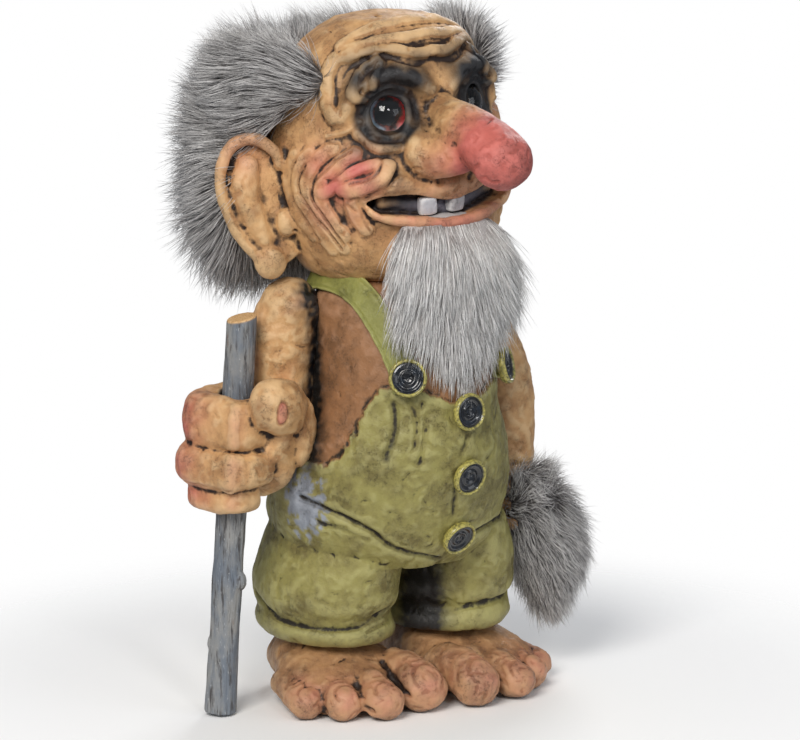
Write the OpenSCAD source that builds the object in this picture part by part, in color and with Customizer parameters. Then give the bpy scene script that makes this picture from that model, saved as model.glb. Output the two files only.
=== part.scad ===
// Standing folk troll figure: cast latex skin over foam, glass eyes, fur hair and beard,
// painted dungarees with buttons, and a natural twig held as a walking staff.
// The figure faces -Y and stands on the plane z = 0. His right hand, at -X, holds the staff.

/* [Torso] */
// Width of the belly at its fullest
belly_w = 116; // [104:1:126]
// Depth of the belly, front to back
belly_d = 114; // [104:1:124]
// Width of the chest under the arms
chest_w = 88; // [80:1:94]
// Depth of the chest, front to back
chest_d = 102; // [94:1:108]
// Height of the shoulders above the ground
shoulder_h = 210; // [204:1:214]
// Height of the waist, where the belly is fullest
waist_h = 112; // [106:1:118]
// How far the chest leans forward of the hips
chest_lean = 17; // [13:1:21]
// Thickness of the raised dungaree cloth
cloth_t = 1.8; // [1:0.1:3]
// Height of the top edge of the bib
bib_top = 167; // [160:1:172]
// Width of the bib along its top edge
bib_w = 82; // [74:1:88]
// Thickness of the cast skin of the body
skin_t = 4; // [3:0.5:6]

/* [Legs] */
// Width of a trouser leg
leg_w = 62; // [56:1:66]
// Depth of a trouser leg, front to back
leg_d = 76; // [70:1:82]
// Distance between the middles of the two legs
leg_spacing = 68; // [66:1:72]
// Height of the trouser hem above the ground
hem_h = 33; // [30:1:36]
// Turn of the two legs and feet against the body
stance_turn = -9; // [-14:1:-4]

/* [Feet] */
// Length of a foot from its heel to the tip of the second toe
foot_l = 96; // [88:1:104]
// Width of a foot across the toes
foot_w = 74; // [68:1:80]
// Height of the instep under the trouser leg
instep_h = 36; // [34:1:40]
// Radius of the great toe
great_toe_r = 12.5; // [11:0.5:13.5]
// Outward turn of the left foot against its leg
left_splay = 14; // [8:1:18]

/* [Head] */
// Width of the head across the cheekbones
head_w = 120; // [112:1:128]
// Depth of the head from the face to the back, without the nose
head_d = 104; // [96:1:112]
// Height of the head from the jaw to the crown
head_h = 134; // [126:1:142]
// Height of the middle of the head above the ground
head_mid_h = 277; // [275:1:281]
// Sideways tilt of the head
head_roll = -3.5; // [-6:0.5:0]

/* [Face] */
// Diameter of a glass eye
eye_d = 21; // [18:0.5:23]
// Angle of each eye from the middle of the face
eye_angle = 28; // [26:1:31]
// Length of the nose from its bridge
nose_l = 62; // [54:1:68]
// Width of the tip of the nose
nose_w = 29; // [25:1:32]
// Angle of each corner of the mouth from the middle of the face
mouth_angle = 41; // [36:1:44]
// Height of the open mouth at its middle
mouth_h = 13; // [11:0.5:15]
// Width of a tooth
tooth_w = 9.5; // [8:0.5:11]

/* [Ears] */
// Height of an ear from its lobe to its tip
ear_h = 64; // [56:1:70]
// Width of an ear from front to back
ear_w = 33; // [28:1:36]

/* [Arms and hands] */
// Radius of the upper arm
arm_r = 16.5; // [15:0.5:18]
// Radius of a finger
finger_r = 10; // [9:0.25:10.5]
// Number of fingers beside the thumb
finger_count = 3; // [3:1:3]

/* [Staff] */
// Diameter of the twig where the hand holds it
staff_d = 15; // [13:0.5:16]
// Length of the twig above the ground
staff_l = 201; // [192:1:206]
// Height of the knot on the twig above the ground
knot_h = 68; // [60:1:76]
// How far the twig can be lifted before its knot meets the hand
staff_lift = 26; // [20:1:30]

/* [Tail] */
// Radius of the tail where it leaves the trousers
tail_r = 7.5; // [6.5:0.5:9]
// Radius of the ball of fur at the end of the tail
tuft_r = 25; // [21:1:28]

/* [Hair and beard] */
// Depth of the fur at the back of the head
hair_t = 27; // [22:1:32]
// Width of the beard under the mouth
beard_w = 74; // [66:1:80]
// Length of the beard from the lower lip to its tip
beard_l = 84; // [76:1:90]

/* [Buttons and braces] */
// Diameter of a button
button_d = 18; // [15:0.5:19]
// Thickness of a button
button_t = 4.5; // [3.5:0.5:6]
// Distance from one front button down to the next
button_pitch = 32; // [29:1:33]
// Width of a brace
brace_w = 14; // [12:0.5:16]
// Thickness of a brace
brace_t = 2.4; // [2:0.1:3.5]

/* [Fits] */
// Gap between pieces that are glued to each other
seat_gap = 0.35; // [0.3:0.05:0.6]
// Gap round the twig in the closed hand
grip_gap = 0.4; // [0.3:0.05:0.8]

/* [Hidden] */

// Middle of the whole figure's outline seen from above, before it is moved to the origin
plan_middle = [4.6, -18.6, 0];

// Vector helpers
function unit(v) = v / norm(v);
function mixed(a, b, t) = a + (b - a) * t;
function at(list, i) = list[max(0, min(len(list) - 1, i))];

// A smooth run of stations through the given ones, each cut into steps
function between(a, b, c, d, t) =
    0.5 * (2 * b + (c - a) * t + (2 * a - 5 * b + 4 * c - d) * t * t
        + (3 * b - a - 3 * c + d) * t * t * t);
function smooth_run(s, steps) = concat(
    [for (i = [0 : len(s) - 2], k = [0 : steps - 1])
        between(at(s, i - 1), s[i], s[i + 1], at(s, i + 2), k / steps)],
    [s[len(s) - 1]]);

// One closed ring of points round p, in the plane of the directions u and v
function ring(p, u, v, ru, rv, sides) =
    [for (k = [0 : sides - 1]) p + ru * cos(360 * k / sides) * u + rv * sin(360 * k / sides) * v];

// A closed skin over rings of equal length, from one end point to the other
module skin_over(rings, first, last) {
    sides = len(rings[0]);
    n = len(rings);
    points = concat([first], [for (r = rings, p = r) p], [last]);
    end = len(points) - 1;
    sheet = [for (i = [0 : n - 2], k = [0 : sides - 1])
        let (a = 1 + i * sides + k, b = 1 + i * sides + (k + 1) % sides)
        each [[a, a + sides, b + sides], [a, b + sides, b]]];
    start_cap = [for (k = [0 : sides - 1]) [0, 1 + k, 1 + (k + 1) % sides]];
    top = 1 + (n - 1) * sides;
    end_cap = [for (k = [0 : sides - 1]) [end, top + (k + 1) % sides, top + k]];
    polyhedron(points = points, faces = concat(start_cap, sheet, end_cap), convexity = 4);
}

// Where the rings of a rounded end lie, from its pole to the full section
dome_angles = [62, 32];

// A limb: a tube along stations [x, y, z, ru, rv] with rounded ends, where ru lies towards wide
module limb(stations, wide = [1, 0, 0], sides = 12, steps = 1, grow = 0, dome = 1) {
    s = smooth_run(stations, steps);
    last = len(s) - 1;
    place = [for (q = s) [q[0], q[1], q[2]]];
    along = [for (i = [0 : last]) unit(at(place, i + 1) - at(place, i - 1))];
    across = [for (t = along) unit(wide - (wide * t) * t)];
    tip0 = (min(s[0][3], s[0][4]) + grow) * dome;
    tip1 = (min(s[last][3], s[last][4]) + grow) * dome;
    // One ring square to the path at station i, moved along it and drawn in by a dome's angle
    function section(i, shift = 0, a = 0) =
        ring(place[i] + along[i] * shift, across[i], cross(along[i], across[i]),
            (s[i][3] + grow) * cos(a), (s[i][4] + grow) * cos(a), sides);
    rings = concat(
        [for (a = dome_angles) section(0, -tip0 * sin(a), a)],
        [for (i = [0 : last]) section(i)],
        [for (k = [1, 0]) section(last, tip1 * sin(dome_angles[k]), dome_angles[k])]);
    skin_over(rings, place[0] - along[0] * tip0, place[last] + along[last] * tip1);
}

// A strap: a flat band along places, square in section, with its face turned along the normals
module strap(places, normals, width, thickness, grow = 0) {
    last = len(places) - 1;
    rings = [for (i = [0 : last])
        let (t = unit(at(places, i + 1) - at(places, i - 1)), n = unit(normals[i] - (normals[i] * t) * t),
             w = cross(t, n), hw = width / 2 + grow, hn = thickness / 2 + grow)
        [places[i] + hw * w + hn * n, places[i] - hw * w + hn * n,
         places[i] - hw * w - hn * n, places[i] + hw * w - hn * n]];
    skin_over([for (r = rings) [r[3], r[2], r[1], r[0]]], places[0], places[last]);
}

// A stack: level rings at stations [x, y, z, rx, ry], closed by a point above and below
module stack(s, sides = 20, grow = 0, crown = 3) {
    last = len(s) - 1;
    rings = [for (q = s) ring([q[0], q[1], q[2]], [1, 0, 0], [0, 1, 0], q[3] + grow, q[4] + grow, sides)];
    skin_over(rings, [s[0][0], s[0][1], s[0][2] - crown - grow],
        [s[last][0], s[last][1], s[last][2] + crown + grow]);
}

// The station of a stack at height z
function station_at(stations, z, i = 0) =
    i >= len(stations) - 2 || z < stations[i + 1][2]
    ? mixed(stations[i], stations[i + 1], (z - stations[i][2]) / (stations[i + 1][2] - stations[i][2]))
    : station_at(stations, z, i + 1);

// A point on a stack's surface: turn is 0 at the front and grows towards his left
function on_stack(stations, turn, z, out = 0) =
    let (q = station_at(stations, z))
    [q[0] + (q[3] + out) * sin(turn), q[1] - (q[4] + out) * cos(turn), z];

// Everything inside is worked out on its facets and becomes one mesh
module one_mesh() { resize([0, 0, 0]) children(); }

module mirrored_if(yes) { if (yes) mirror([1, 0, 0]) children(); else children(); }

// Torso: stations from the hips up to the neck, in the figure's own frame
hip_z = 78;
hip_middle = [7, -2];
neck_r = 27;
torso_stations = [
    [hip_middle[0], hip_middle[1], hip_z - 6, belly_w * 0.40, belly_d * 0.37],
    [hip_middle[0] - 1, hip_middle[1] - 1, hip_z + 4, belly_w * 0.475, belly_d * 0.45],
    [4, -6, waist_h - 16, belly_w * 0.5, belly_d * 0.485],
    [3, -10, waist_h, belly_w * 0.5, belly_d * 0.5],
    [1, -6 - chest_lean * 0.55, waist_h + 20, belly_w * 0.46, belly_d * 0.495],
    [0, -3 - chest_lean, waist_h + 40, chest_w * 0.52, chest_d * 0.5],
    [0, -4 - chest_lean, waist_h + 57, chest_w * 0.5, chest_d * 0.485],
    [0, -3 - chest_lean, shoulder_h - 22, chest_w * 0.485, chest_d * 0.43],
    [0, 1 - chest_lean, shoulder_h - 4, chest_w * 0.45, chest_d * 0.34],
    [0, 4 - chest_lean, shoulder_h + 7, neck_r, neck_r * 0.95]];

// Legs: their middles, turned with the stance
function turned(p, angle) = [p[0] * cos(angle) - p[1] * sin(angle), p[0] * sin(angle) + p[1] * cos(angle)];
leg_middle_x = 7;
leg_y = 3;
function leg_spot(side) = turned([leg_middle_x + side * leg_spacing / 2, leg_y], stance_turn);

module leg_form(side, grow = 0) {
    p = leg_spot(side);
    stack([
        [p[0] - side * 2, p[1] - 2, hem_h, leg_w * 0.47, leg_d * 0.46],
        [p[0] - side * 1, p[1] - 1, hem_h + 4, leg_w * 0.5, leg_d * 0.5],
        [p[0], p[1], hem_h + 14, leg_w * 0.495, leg_d * 0.5],
        [p[0], p[1], hem_h + 20, leg_w * 0.46, leg_d * 0.475],
        [p[0] - side * 1, p[1] - 1, hem_h + 27, leg_w * 0.49, leg_d * 0.52],
        [p[0] - side * 3, p[1] - 3, hip_z - 4, leg_w * 0.47, leg_d * 0.55],
        [p[0] - side * 7, p[1] - 5, hip_z + 14, leg_w * 0.42, leg_d * 0.52]],
        sides = 16, grow = grow, crown = 0.1);
}

module torso_form(grow = 0) {
    stack(torso_stations, grow = grow);
    for (side = [-1, 1]) leg_form(side, grow);
}

// The region of the dungarees, seen from the front: legs, seat, and a bib up the chest
module dungaree_region() {
    side_top = waist_h + 14;
    rotate([90, 0, 0]) linear_extrude(belly_d * 2, center = true)
        polygon([[-belly_w, 0], [belly_w, 0], [belly_w, side_top], [bib_w * 0.62, side_top],
                 [bib_w * 0.5, bib_top - 16], [bib_w * 0.42, bib_top], [-bib_w * 0.42, bib_top],
                 [-bib_w * 0.5, bib_top - 16], [-bib_w * 0.62, side_top], [-belly_w, side_top]]);
}

// Fold of cloth round a trouser leg, above the hem
module leg_fold(side) {
    p = leg_spot(side);
    fold_z = hem_h + 24;
    fold_r = 4.5;
    limb([for (a = [-150 : 30 : 60])
        [p[0] + leg_w * 0.44 * sin(a) * side, p[1] - leg_d * 0.47 * cos(a), fold_z + 3 * sin(2 * a),
            fold_r, fold_r]],
        wide = [0, 0, 1], sides = 8);
}

module torso_casting() {
    color("olivedrab") placed() one_mesh() difference() {
        union() {
            torso_form();
            intersection() { torso_form(cloth_t); dungaree_region(); }
            for (side = [-1, 1]) leg_fold(side);
        }
        for (side = [-1, 1]) foot_form(side, seat_gap);
        core_form(seat_gap);
    }
}

// Foam that fills the cast skin, poured in at the open neck
module core_form(grow = 0) {
    last = len(torso_stations) - 1;
    stack([for (i = [0 : last]) let (q = torso_stations[i])
        [q[0], q[1], q[2] + (i < 2 ? skin_t + 8 : (i == last ? 6 : 0)), q[3], q[4]]],
        sides = 16, grow = grow - skin_t);
}
module torso_core() { color("khaki") placed() one_mesh() intersection() { core_form(); torso_form(); } }

// Feet: four toes on a broad flat foot, in the frame of its ankle, with the great toe at -X
toe_reach = foot_l * 0.71;
toe_spots = [[-0.36, 0.97, 1.0], [-0.04, 1.0, 0.8], [0.20, 0.87, 0.74], [0.40, 0.70, 0.68]];

module foot_shape(grow = 0) {
    ankle_r = leg_w * 0.35;
    limb([[0, foot_l * 0.24, instep_h * 0.42, foot_w * 0.27, instep_h * 0.42],
          [0, foot_l * 0.02, instep_h * 0.48, foot_w * 0.36, instep_h * 0.5],
          [0, -foot_l * 0.24, instep_h * 0.36, foot_w * 0.45, instep_h * 0.4],
          [0, -foot_l * 0.42, instep_h * 0.26, foot_w * 0.44, instep_h * 0.33]],
        sides = 14, grow = grow, dome = 0.8);
    limb([[0, 0, instep_h * 0.5, ankle_r, ankle_r], [0, 0, instep_h + 8, ankle_r * 0.92, ankle_r * 0.92]],
        sides = 12, grow = grow, dome = 0.3);
    for (t = toe_spots) {
        r = great_toe_r * t[2];
        x = t[0] * foot_w;
        tip = t[1] * toe_reach;
        limb([[x * 0.9, -tip + 38, r * 1.15, r * 0.9, r * 0.8], [x, -tip + 20, r * 1.05, r, r * 0.95],
              [x * 1.02, -tip + r, r * 0.82, r * 0.98, r * 0.86]], sides = 8, grow = grow, dome = 0.95);
    }
}

module foot_form(side, grow = 0) {
    p = leg_spot(side);
    translate([p[0], p[1], 0])
        rotate([0, 0, stance_turn + (side > 0 ? left_splay : 0)])
            mirrored_if(side < 0) intersection() {
                foot_shape(grow);
                translate([-foot_w, -foot_l, -grow]) cube([2 * foot_w, 2 * foot_l, 3 * instep_h]);
            }
}

module right_foot() { color("burlywood") placed() one_mesh() foot_form(-1); }
module left_foot() { color("burlywood") placed() one_mesh() foot_form(1); }

// Head: stations from the jaw to the crown, in the head's own frame
head_stations = [
    [0, -head_d * 0.06, -head_h * 0.49, head_w * 0.20, head_d * 0.22],
    [0, -head_d * 0.08, -head_h * 0.44, head_w * 0.36, head_d * 0.38],
    [0, -head_d * 0.09, -head_h * 0.34, head_w * 0.44, head_d * 0.46],
    [0, -head_d * 0.06, -head_h * 0.19, head_w * 0.49, head_d * 0.495],
    [0, -head_d * 0.03, -head_h * 0.03, head_w * 0.5, head_d * 0.5],
    [0, -head_d * 0.01, head_h * 0.14, head_w * 0.47, head_d * 0.475],
    [0, -head_d * 0.04, head_h * 0.28, head_w * 0.42, head_d * 0.43],
    [0, -head_d * 0.07, head_h * 0.40, head_w * 0.33, head_d * 0.35],
    [0, -head_d * 0.07, head_h * 0.475, head_w * 0.19, head_d * 0.21]];
head_y = -3;
face_r = head_d / 2;

module in_head_frame() { translate([0, head_y, head_mid_h]) rotate([0, head_roll, 0]) children(); }

head_run = smooth_run(head_stations, 3);
function on_face(turn, z, out = 0) = on_stack(head_run, turn, z, out);

// A tube on the face through places [turn, height, radius], lying out from the surface
module face_tube(places, out = 0, sides = 8, steps = 1, grow = 0, flat = 1) {
    limb([for (q = places) let (p = on_face(q[0], q[1], out)) [p[0], p[1], p[2], q[2], q[2] * flat]],
        wide = [0, 0, 1], sides = sides, steps = steps, grow = grow);
}

eye_z = head_h * 0.15;
eye_r = eye_d / 2;
eye_sink = eye_r * 0.62;
mouth_z = -head_h * 0.21;

function eye_spot(side) = on_face(side * eye_angle, eye_z, -eye_sink);

module mouth_form(grow = 0) {
    face_tube([[-mouth_angle, mouth_z + 5, 2.4], [-mouth_angle * 0.6, mouth_z + 0.5, mouth_h * 0.38],
               [0, mouth_z - 1, mouth_h / 2], [mouth_angle * 0.6, mouth_z + 0.5, mouth_h * 0.38],
               [mouth_angle, mouth_z + 5, 2.4]], out = 1, sides = 8, steps = 2, grow = grow, flat = 1.7);
}

module nose_form(grow = 0) {
    bridge = [0, -face_r * 0.80, head_h * 0.20];
    tip = bridge + [0, -nose_l * 0.9, -nose_l * 0.44];
    r = nose_w / 2;
    limb([[bridge[0], bridge[1], bridge[2], r * 0.62, r * 0.7],
          [0, mixed(bridge, tip, 0.28)[1], mixed(bridge, tip, 0.28)[2] + 2, r * 0.78, r * 0.85],
          [0, mixed(bridge, tip, 0.55)[1], mixed(bridge, tip, 0.55)[2] + 3, r * 0.95, r * 0.9],
          [0, mixed(bridge, tip, 0.8)[1], mixed(bridge, tip, 0.8)[2] + 1.5, r * 0.98, r * 0.92],
          [tip[0], tip[1], tip[2], r, r * 0.97]], sides = 12, grow = grow);
    for (side = [-1, 1])
        limb([[side * r * 0.75, -face_r - 3, 5, r * 0.5, r * 0.6],
              [side * r * 0.8, -face_r - 15, -1, r * 0.5, r * 0.5]], sides = 8, grow = grow);
}

// Relief of the face: folds of skin as ridges [height, half width, places [turn, height]]
function both_sides(ridges) = concat(ridges, [for (g = ridges) [g[0], g[1], [for (q = g[2]) [-q[0], q[1]]]]]);
crease_count = 3;
face_ridges = concat(
    // Heavy brows that curl round the outer corner of each eye, and the frown between them
    both_sides([[7, 5, [[7, eye_z + 9], [16, eye_z + 17], [30, eye_z + 20], [46, eye_z + 14],
            [53, eye_z + 1]]],
        [3, 3.5, [[13, eye_z + 1], [22, eye_z - 11], [36, eye_z - 12], [46, eye_z - 4]]],
        // Full cheek, and the creases that curl round the corner of the mouth down to the jaw
        [8, 10, [[34, -5], [48, -12]]]]),
    both_sides([for (k = [0 : crease_count - 1]) [3.6, 3.2, [[50 + 8 * k, 6], [60 + 10 * k, -6],
        [64 + 11 * k, -22], [60 + 10 * k, -39], [50 + 7 * k, -52]]]]),
    // Rolls across the forehead
    [for (k = [0 : 2]) [3, 2.6, [for (a = [-44 : 22 : 44])
        [a, head_h * (0.35 + 0.055 * k) + 1.5 * cos(4 * a)]]]],
    // Upper lip, lower lip and chin
    [[6, 7, [[-30, mouth_z + 11], [0, mouth_z + 13], [30, mouth_z + 11]]],
     [5, 3.6, [[-mouth_angle, mouth_z + 1], [-20, mouth_z - 8], [0, mouth_z - 10], [20, mouth_z - 8],
        [mouth_angle, mouth_z + 1]]],
     [6, 9, [[-8, mouth_z - 28], [8, mouth_z - 28]]]]);

// Distance on the face from [turn, height] to a run of places, in millimetres
mm_per_degree = head_w / 2 * PI / 180;
function to_mm(q) = [q[0] * mm_per_degree, q[1]];
function to_segment(p, a, b) =
    let (t = max(0, min(1, ((p - a) * (b - a)) / ((b - a) * (b - a))))) norm(p - a - t * (b - a));
function to_run(p, run) = min([for (i = [0 : len(run) - 2]) to_segment(p, run[i], run[i + 1])]);
face_ridge_runs = [for (g = face_ridges) [g[0], g[1], [for (q = g[2]) to_mm(q)]]];
function total(list, i = 0) = i < len(list) ? list[i] + total(list, i + 1) : 0;
function face_relief(turn, z) = let (p = to_mm([turn, z]))
    total([for (g = face_ridge_runs) let (d = to_run(p, g[2]) / g[1]) d < 2.4 ? g[0] * exp(-d * d) : 0]);

// The head's skin with its relief: fine towards the face and coarse behind
module face_skin(grow = 0) {
    turns = concat([for (a = [-99 : 9 : 99]) a], [for (a = [117 : 18 : 243]) a]);
    low = head_stations[0][2];
    high = head_stations[len(head_stations) - 1][2];
    rows = 24;
    rings = [for (i = [0 : rows]) let (z = mixed(low, high, i / rows))
        [for (a = turns) on_face(a, z, grow + (a < 110 ? face_relief(a, z) : 0))]];
    skin_over(rings, [0, head_stations[0][1], low - 3 - grow],
        [0, head_stations[len(head_stations) - 1][1], high + 3 + grow]);
}

// Lid round an eye
module eyelid(side) {
    translate(eye_spot(side)) rotate([0, 0, side * eye_angle]) rotate([90, 0, 0])
        rotate_extrude($fn = 14) translate([eye_r + 0.6, 0]) circle(r = 3, $fn = 6);
}

// Ear: a long cupped shell that stands out sideways, with its hollow turned forwards
ear_turn = 30;
module in_ear_frame(side) {
    translate(on_face(side * 92, -head_h * 0.17, -3)) rotate([0, 0, side * ear_turn]) children();
}

module ear_form(side, grow = 0) {
    w = ear_w / 2;
    in_ear_frame(side) limb([[side * 3, 0, -ear_h * 0.40, w * 0.42, 4.5],
        [side * (w * 0.62), 0, -ear_h * 0.16, w * 0.72, 5.5],
        [side * w, 1, ear_h * 0.12, w * 0.96, 6],
        [side * (w * 1.15), 2, ear_h * 0.38, w * 0.72, 5.5],
        [side * (w * 1.1), 3, ear_h * 0.50, w * 0.36, 4]], sides = 12, grow = grow);
}

// Hollow of the ear
module ear_hollow(side) {
    w = ear_w / 2;
    in_ear_frame(side) limb([[side * (w * 0.72), -5.5, -ear_h * 0.16, w * 0.36, 3.5],
        [side * (w * 1.02), -5.5, ear_h * 0.12, w * 0.62, 4.5],
        [side * (w * 1.18), -4, ear_h * 0.36, w * 0.42, 3.5]], sides = 8);
}

// The head as its neighbours are cut to it, with room for the facets of its skin
facet_room = 1.1;
module head_mass(grow = 0) {
    stack(head_run, sides = 24, grow = grow + facet_room);
    for (side = [-1, 1]) ear_form(side, grow);
}

head_core_stations = [
    [0, -6, -head_h * 0.60, neck_r * 0.7, neck_r * 0.7],
    [0, 2, -head_h * 0.34, head_w * 0.22, head_d * 0.20],
    [0, 10, -head_h * 0.08, head_w * 0.33, head_d * 0.28],
    [0, 10, head_h * 0.10, head_w * 0.32, head_d * 0.27],
    [0, 6, head_h * 0.26, head_w * 0.22, head_d * 0.20]];

// Foam that fills the head, poured in where it sits on the shoulders
module head_core_form(grow = 0) { stack(head_core_stations, sides = 12, grow = grow); }

module head_casting() {
    color("tan") placed() one_mesh() difference() {
        in_head_frame() difference() {
            union() {
                face_skin();
                nose_form();
                for (side = [-1, 1]) {
                    ear_form(side);
                    eyelid(side);
                }
            }
            mouth_form();
            for (side = [-1, 1]) {
                translate(eye_spot(side)) sphere(r = eye_r + seat_gap, $fn = 18);
                ear_hollow(side);
            }
            head_core_form(seat_gap);
        }
        torso_form(seat_gap);
    }
}

module head_core() {
    color("khaki") placed() one_mesh() difference() {
        in_head_frame() head_core_form();
        torso_form(seat_gap);
    }
}

// Eyes: a clear glass dome with a flat painted iris behind it
iris_t = 1.2;
iris_back = 2.5;
module in_eye(side) {
    in_head_frame() translate(eye_spot(side)) rotate([0, 0, side * eye_angle]) rotate([90, 0, 0]) children();
}
module eye_glass(side) {
    in_eye(side) intersection() {
        sphere(r = eye_r, $fn = 48);
        translate([-eye_r, -eye_r, -iris_back]) cube([eye_d, eye_d, eye_d]);
    }
}
module eye_iris(side) {
    r = sqrt(eye_r * eye_r - iris_back * iris_back) - 0.6;
    in_eye(side) translate([0, 0, -iris_back - iris_t]) cylinder(r = r, h = iris_t, $fn = 48);
}
module right_eye() { color("black") placed() eye_glass(-1); }
module left_eye() { color("black") placed() eye_glass(1); }
module right_iris() { color("orangered") placed() eye_iris(-1); }
module left_iris() { color("orangered") placed() eye_iris(1); }

// Teeth: two pegs that hang from the roof of the open mouth
module tooth(turn) {
    p = on_face(turn, mouth_z, -4);
    r = tooth_w / 2;
    in_head_frame() intersection() {
        mouth_form(-seat_gap);
        translate(p) rotate([0, 0, turn])
            limb([[0, 0, mouth_h, r, 3.6], [0, 0, 0, r, 3.6], [0, 0, -mouth_h * 0.14, r * 0.9, 3.2]],
                sides = 12, dome = 0.5);
    }
}
module right_tooth() { color("ivory") placed() one_mesh() tooth(-13); }
module left_tooth() { color("ivory") placed() one_mesh() tooth(4); }

// Staff: a natural twig that leans a little, in a frame along its own axis
staff_foot = [-90, 7, 0];
staff_head = [-80, -1, staff_l];
staff_axis = unit(staff_head - staff_foot);
staff_r = staff_d / 2;
grip_h = 135;
grip_spot = staff_foot + staff_axis * (grip_h / staff_axis[2]);

module along_staff() {
    translate(staff_foot)
        rotate([0, 0, atan2(staff_axis[1], staff_axis[0])])
            rotate([0, acos(staff_axis[2]), 0]) children();
}

module staff() {
    cut_slant = 14;
    color("slategray") placed() intersection() {
        along_staff() difference() {
            union() {
                rotate_extrude($fn = 40) polygon([[0, -3], [staff_r + 0.35, -3], [staff_r + 0.2, 20],
                    [staff_r - 0.3, 42], [staff_r - 0.1, knot_h - 9], [staff_r + 0.1, knot_h],
                    [staff_r - 0.3, knot_h + 10], [staff_r, fist_low - 2], [staff_r, fist_high + staff_lift],
                    [staff_r - 0.5, staff_l - 6], [staff_r - 0.6, staff_l + 4], [0, staff_l + 4]]);
                rotate([0, 0, -25]) translate([staff_r - 1.5, 0, knot_h]) sphere(r = 4.6, $fn = 24);
            }
            translate([0, 0, staff_l - 3]) rotate([0, -cut_slant, 30])
                translate([-staff_d, -staff_d, 0]) cube([2 * staff_d, 2 * staff_d, 30]);
        }
        translate([-200, -100, 0]) cube([300, 200, 400]);
    }
}

// Right hand: a fist closed round the staff, in the staff's frame, with the knuckles turned outwards
knuckle_turn = -38;
finger_path_r = staff_r + grip_gap + finger_r * 0.99;
// Fingers from the top down, in finger radii: height above the grip, half width, thickness
fist_fingers = [[1.4, 1.4, 0.92], [-0.77, 1.05, 1.05], [-2.3, 0.72, 0.68]];
fist_low = grip_h - finger_r * 3.02;
fist_high = grip_h + finger_r * 2.8;

// A rounded square path round the staff, as knuckles fold
function grip_point(a, r) = let (f = pow(pow(abs(cos(a)), 3) + pow(abs(sin(a)), 3), -1 / 3))
    [r * f * cos(a), r * f * sin(a)];

module fist_mass(grow = 0) {
    for (k = [0 : finger_count - 1]) {
        f = fist_fingers[k] * finger_r;
        path_r = staff_r + grip_gap + f[2] * 0.9;
        limb([for (a = [140, 180, 222, 266, 305, 338])
            let (p = grip_point(a, path_r))
            [p[0], p[1], grip_h + f[0] + 1.5 * sin(a), f[1] * (a > 300 ? 0.9 : 1),
                f[2] * (a == 222 ? 1.06 : 0.94)]],
            wide = [0, 0, 1], sides = 8, grow = grow);
    }
    // Back of the hand, from the knuckles to the wrist
    palm_h = finger_r * 2.64;
    limb([for (a = [25, 60, 100, 145]) let (p = grip_point(a, finger_path_r + 1))
        [p[0], p[1], grip_h - 2, palm_h * (a == 25 ? 0.72 : 1), finger_r * 1.05]],
        wide = [0, 0, 1], sides = 10, grow = grow, dome = 0.7);
    // Thumb, laid over the top finger with its nail turned outwards
    thumb_z = grip_h + finger_r * 2.2;
    limb([for (q = [[66, 1.1, -18, 10], [28, 1.3, -6, 11.5], [-8, 1.34, 2, 11.5], [-38, 1.28, 0, 11.5],
                [-50, 1.22, -8, 10]])
        let (p = grip_point(q[0], finger_path_r * q[1])) [p[0], p[1], thumb_z + q[2], q[3], q[3] * 0.95]],
        wide = [0, 0, 1], sides = 10, grow = grow);
}

module fist_form(grow = 0) { along_staff() rotate([0, 0, knuckle_turn]) fist_mass(grow); }

module right_fist() {
    color("peru") placed() difference() {
        one_mesh() difference() { fist_form(); torso_form(seat_gap + cloth_t); }
        along_staff() translate([0, 0, grip_h - 60]) cylinder(r = staff_r + grip_gap, h = 120, $fn = 64);
    }
}

// Arms: from the shoulder down to the elbow and on to the wrist
module right_arm_form(grow = 0) {
    shoulder_x = chest_w * 0.5;
    wrist = grip_spot + [25, 2, 1];
    elbow_z = grip_h + 6;
    elbow = [on_stack(torso_stations, -90, elbow_z)[0] + 1.4, 10, elbow_z];
    limb([[-shoulder_x - 5, 3, shoulder_h - 11, arm_r * 0.95, arm_r * 0.92],
          [-shoulder_x - 8, 5, shoulder_h - 26, arm_r * 1.06, arm_r],
          [-shoulder_x - 7, 7, grip_h + 32, arm_r * 1.02, arm_r],
          [elbow[0], elbow[1], elbow[2], arm_r * 1.05, arm_r * 1.05]], sides = 14, grow = grow);
    limb([[elbow[0], elbow[1], elbow[2], arm_r * 0.9, arm_r * 0.9],
          [wrist[0], wrist[1], wrist[2], arm_r * 0.86, arm_r * 0.86]],
        wide = [0, 0, 1], sides = 12, grow = grow);
}

module right_arm() {
    color("burlywood") placed() one_mesh() difference() {
        right_arm_form();
        torso_form(seat_gap + cloth_t);
        in_head_frame() head_mass(seat_gap);
        fist_form(seat_gap);
        along_staff() translate([0, 0, grip_h - 60]) cylinder(r = staff_r + grip_gap + 1, h = 120, $fn = 24);
    }
}

left_hand_spot = [74, -21, 92];
module left_arm_form(grow = 0) {
    shoulder_x = chest_w * 0.5;
    h = left_hand_spot;
    limb([[shoulder_x + 2, 0, shoulder_h - 9, arm_r * 0.92, arm_r * 0.9],
          [shoulder_x + 12, -3, shoulder_h - 19, arm_r, arm_r],
          [shoulder_x + 20, -7, shoulder_h - 32, arm_r * 0.98, arm_r],
          [h[0] - 3, h[1] + 8, h[2] + 62, arm_r, arm_r],
          [h[0] - 1, h[1] + 6, h[2] + 40, arm_r * 0.95, arm_r * 0.95],
          [h[0], h[1] + 3, h[2] + 20, arm_r * 0.8, arm_r * 0.8]],
        sides = 14, grow = grow, dome = 0.6);
}

module left_arm() {
    color("burlywood") placed() one_mesh() difference() {
        left_arm_form();
        torso_form(seat_gap + cloth_t);
        in_head_frame() head_mass(seat_gap);
        hand_form(seat_gap);
    }
}

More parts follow.
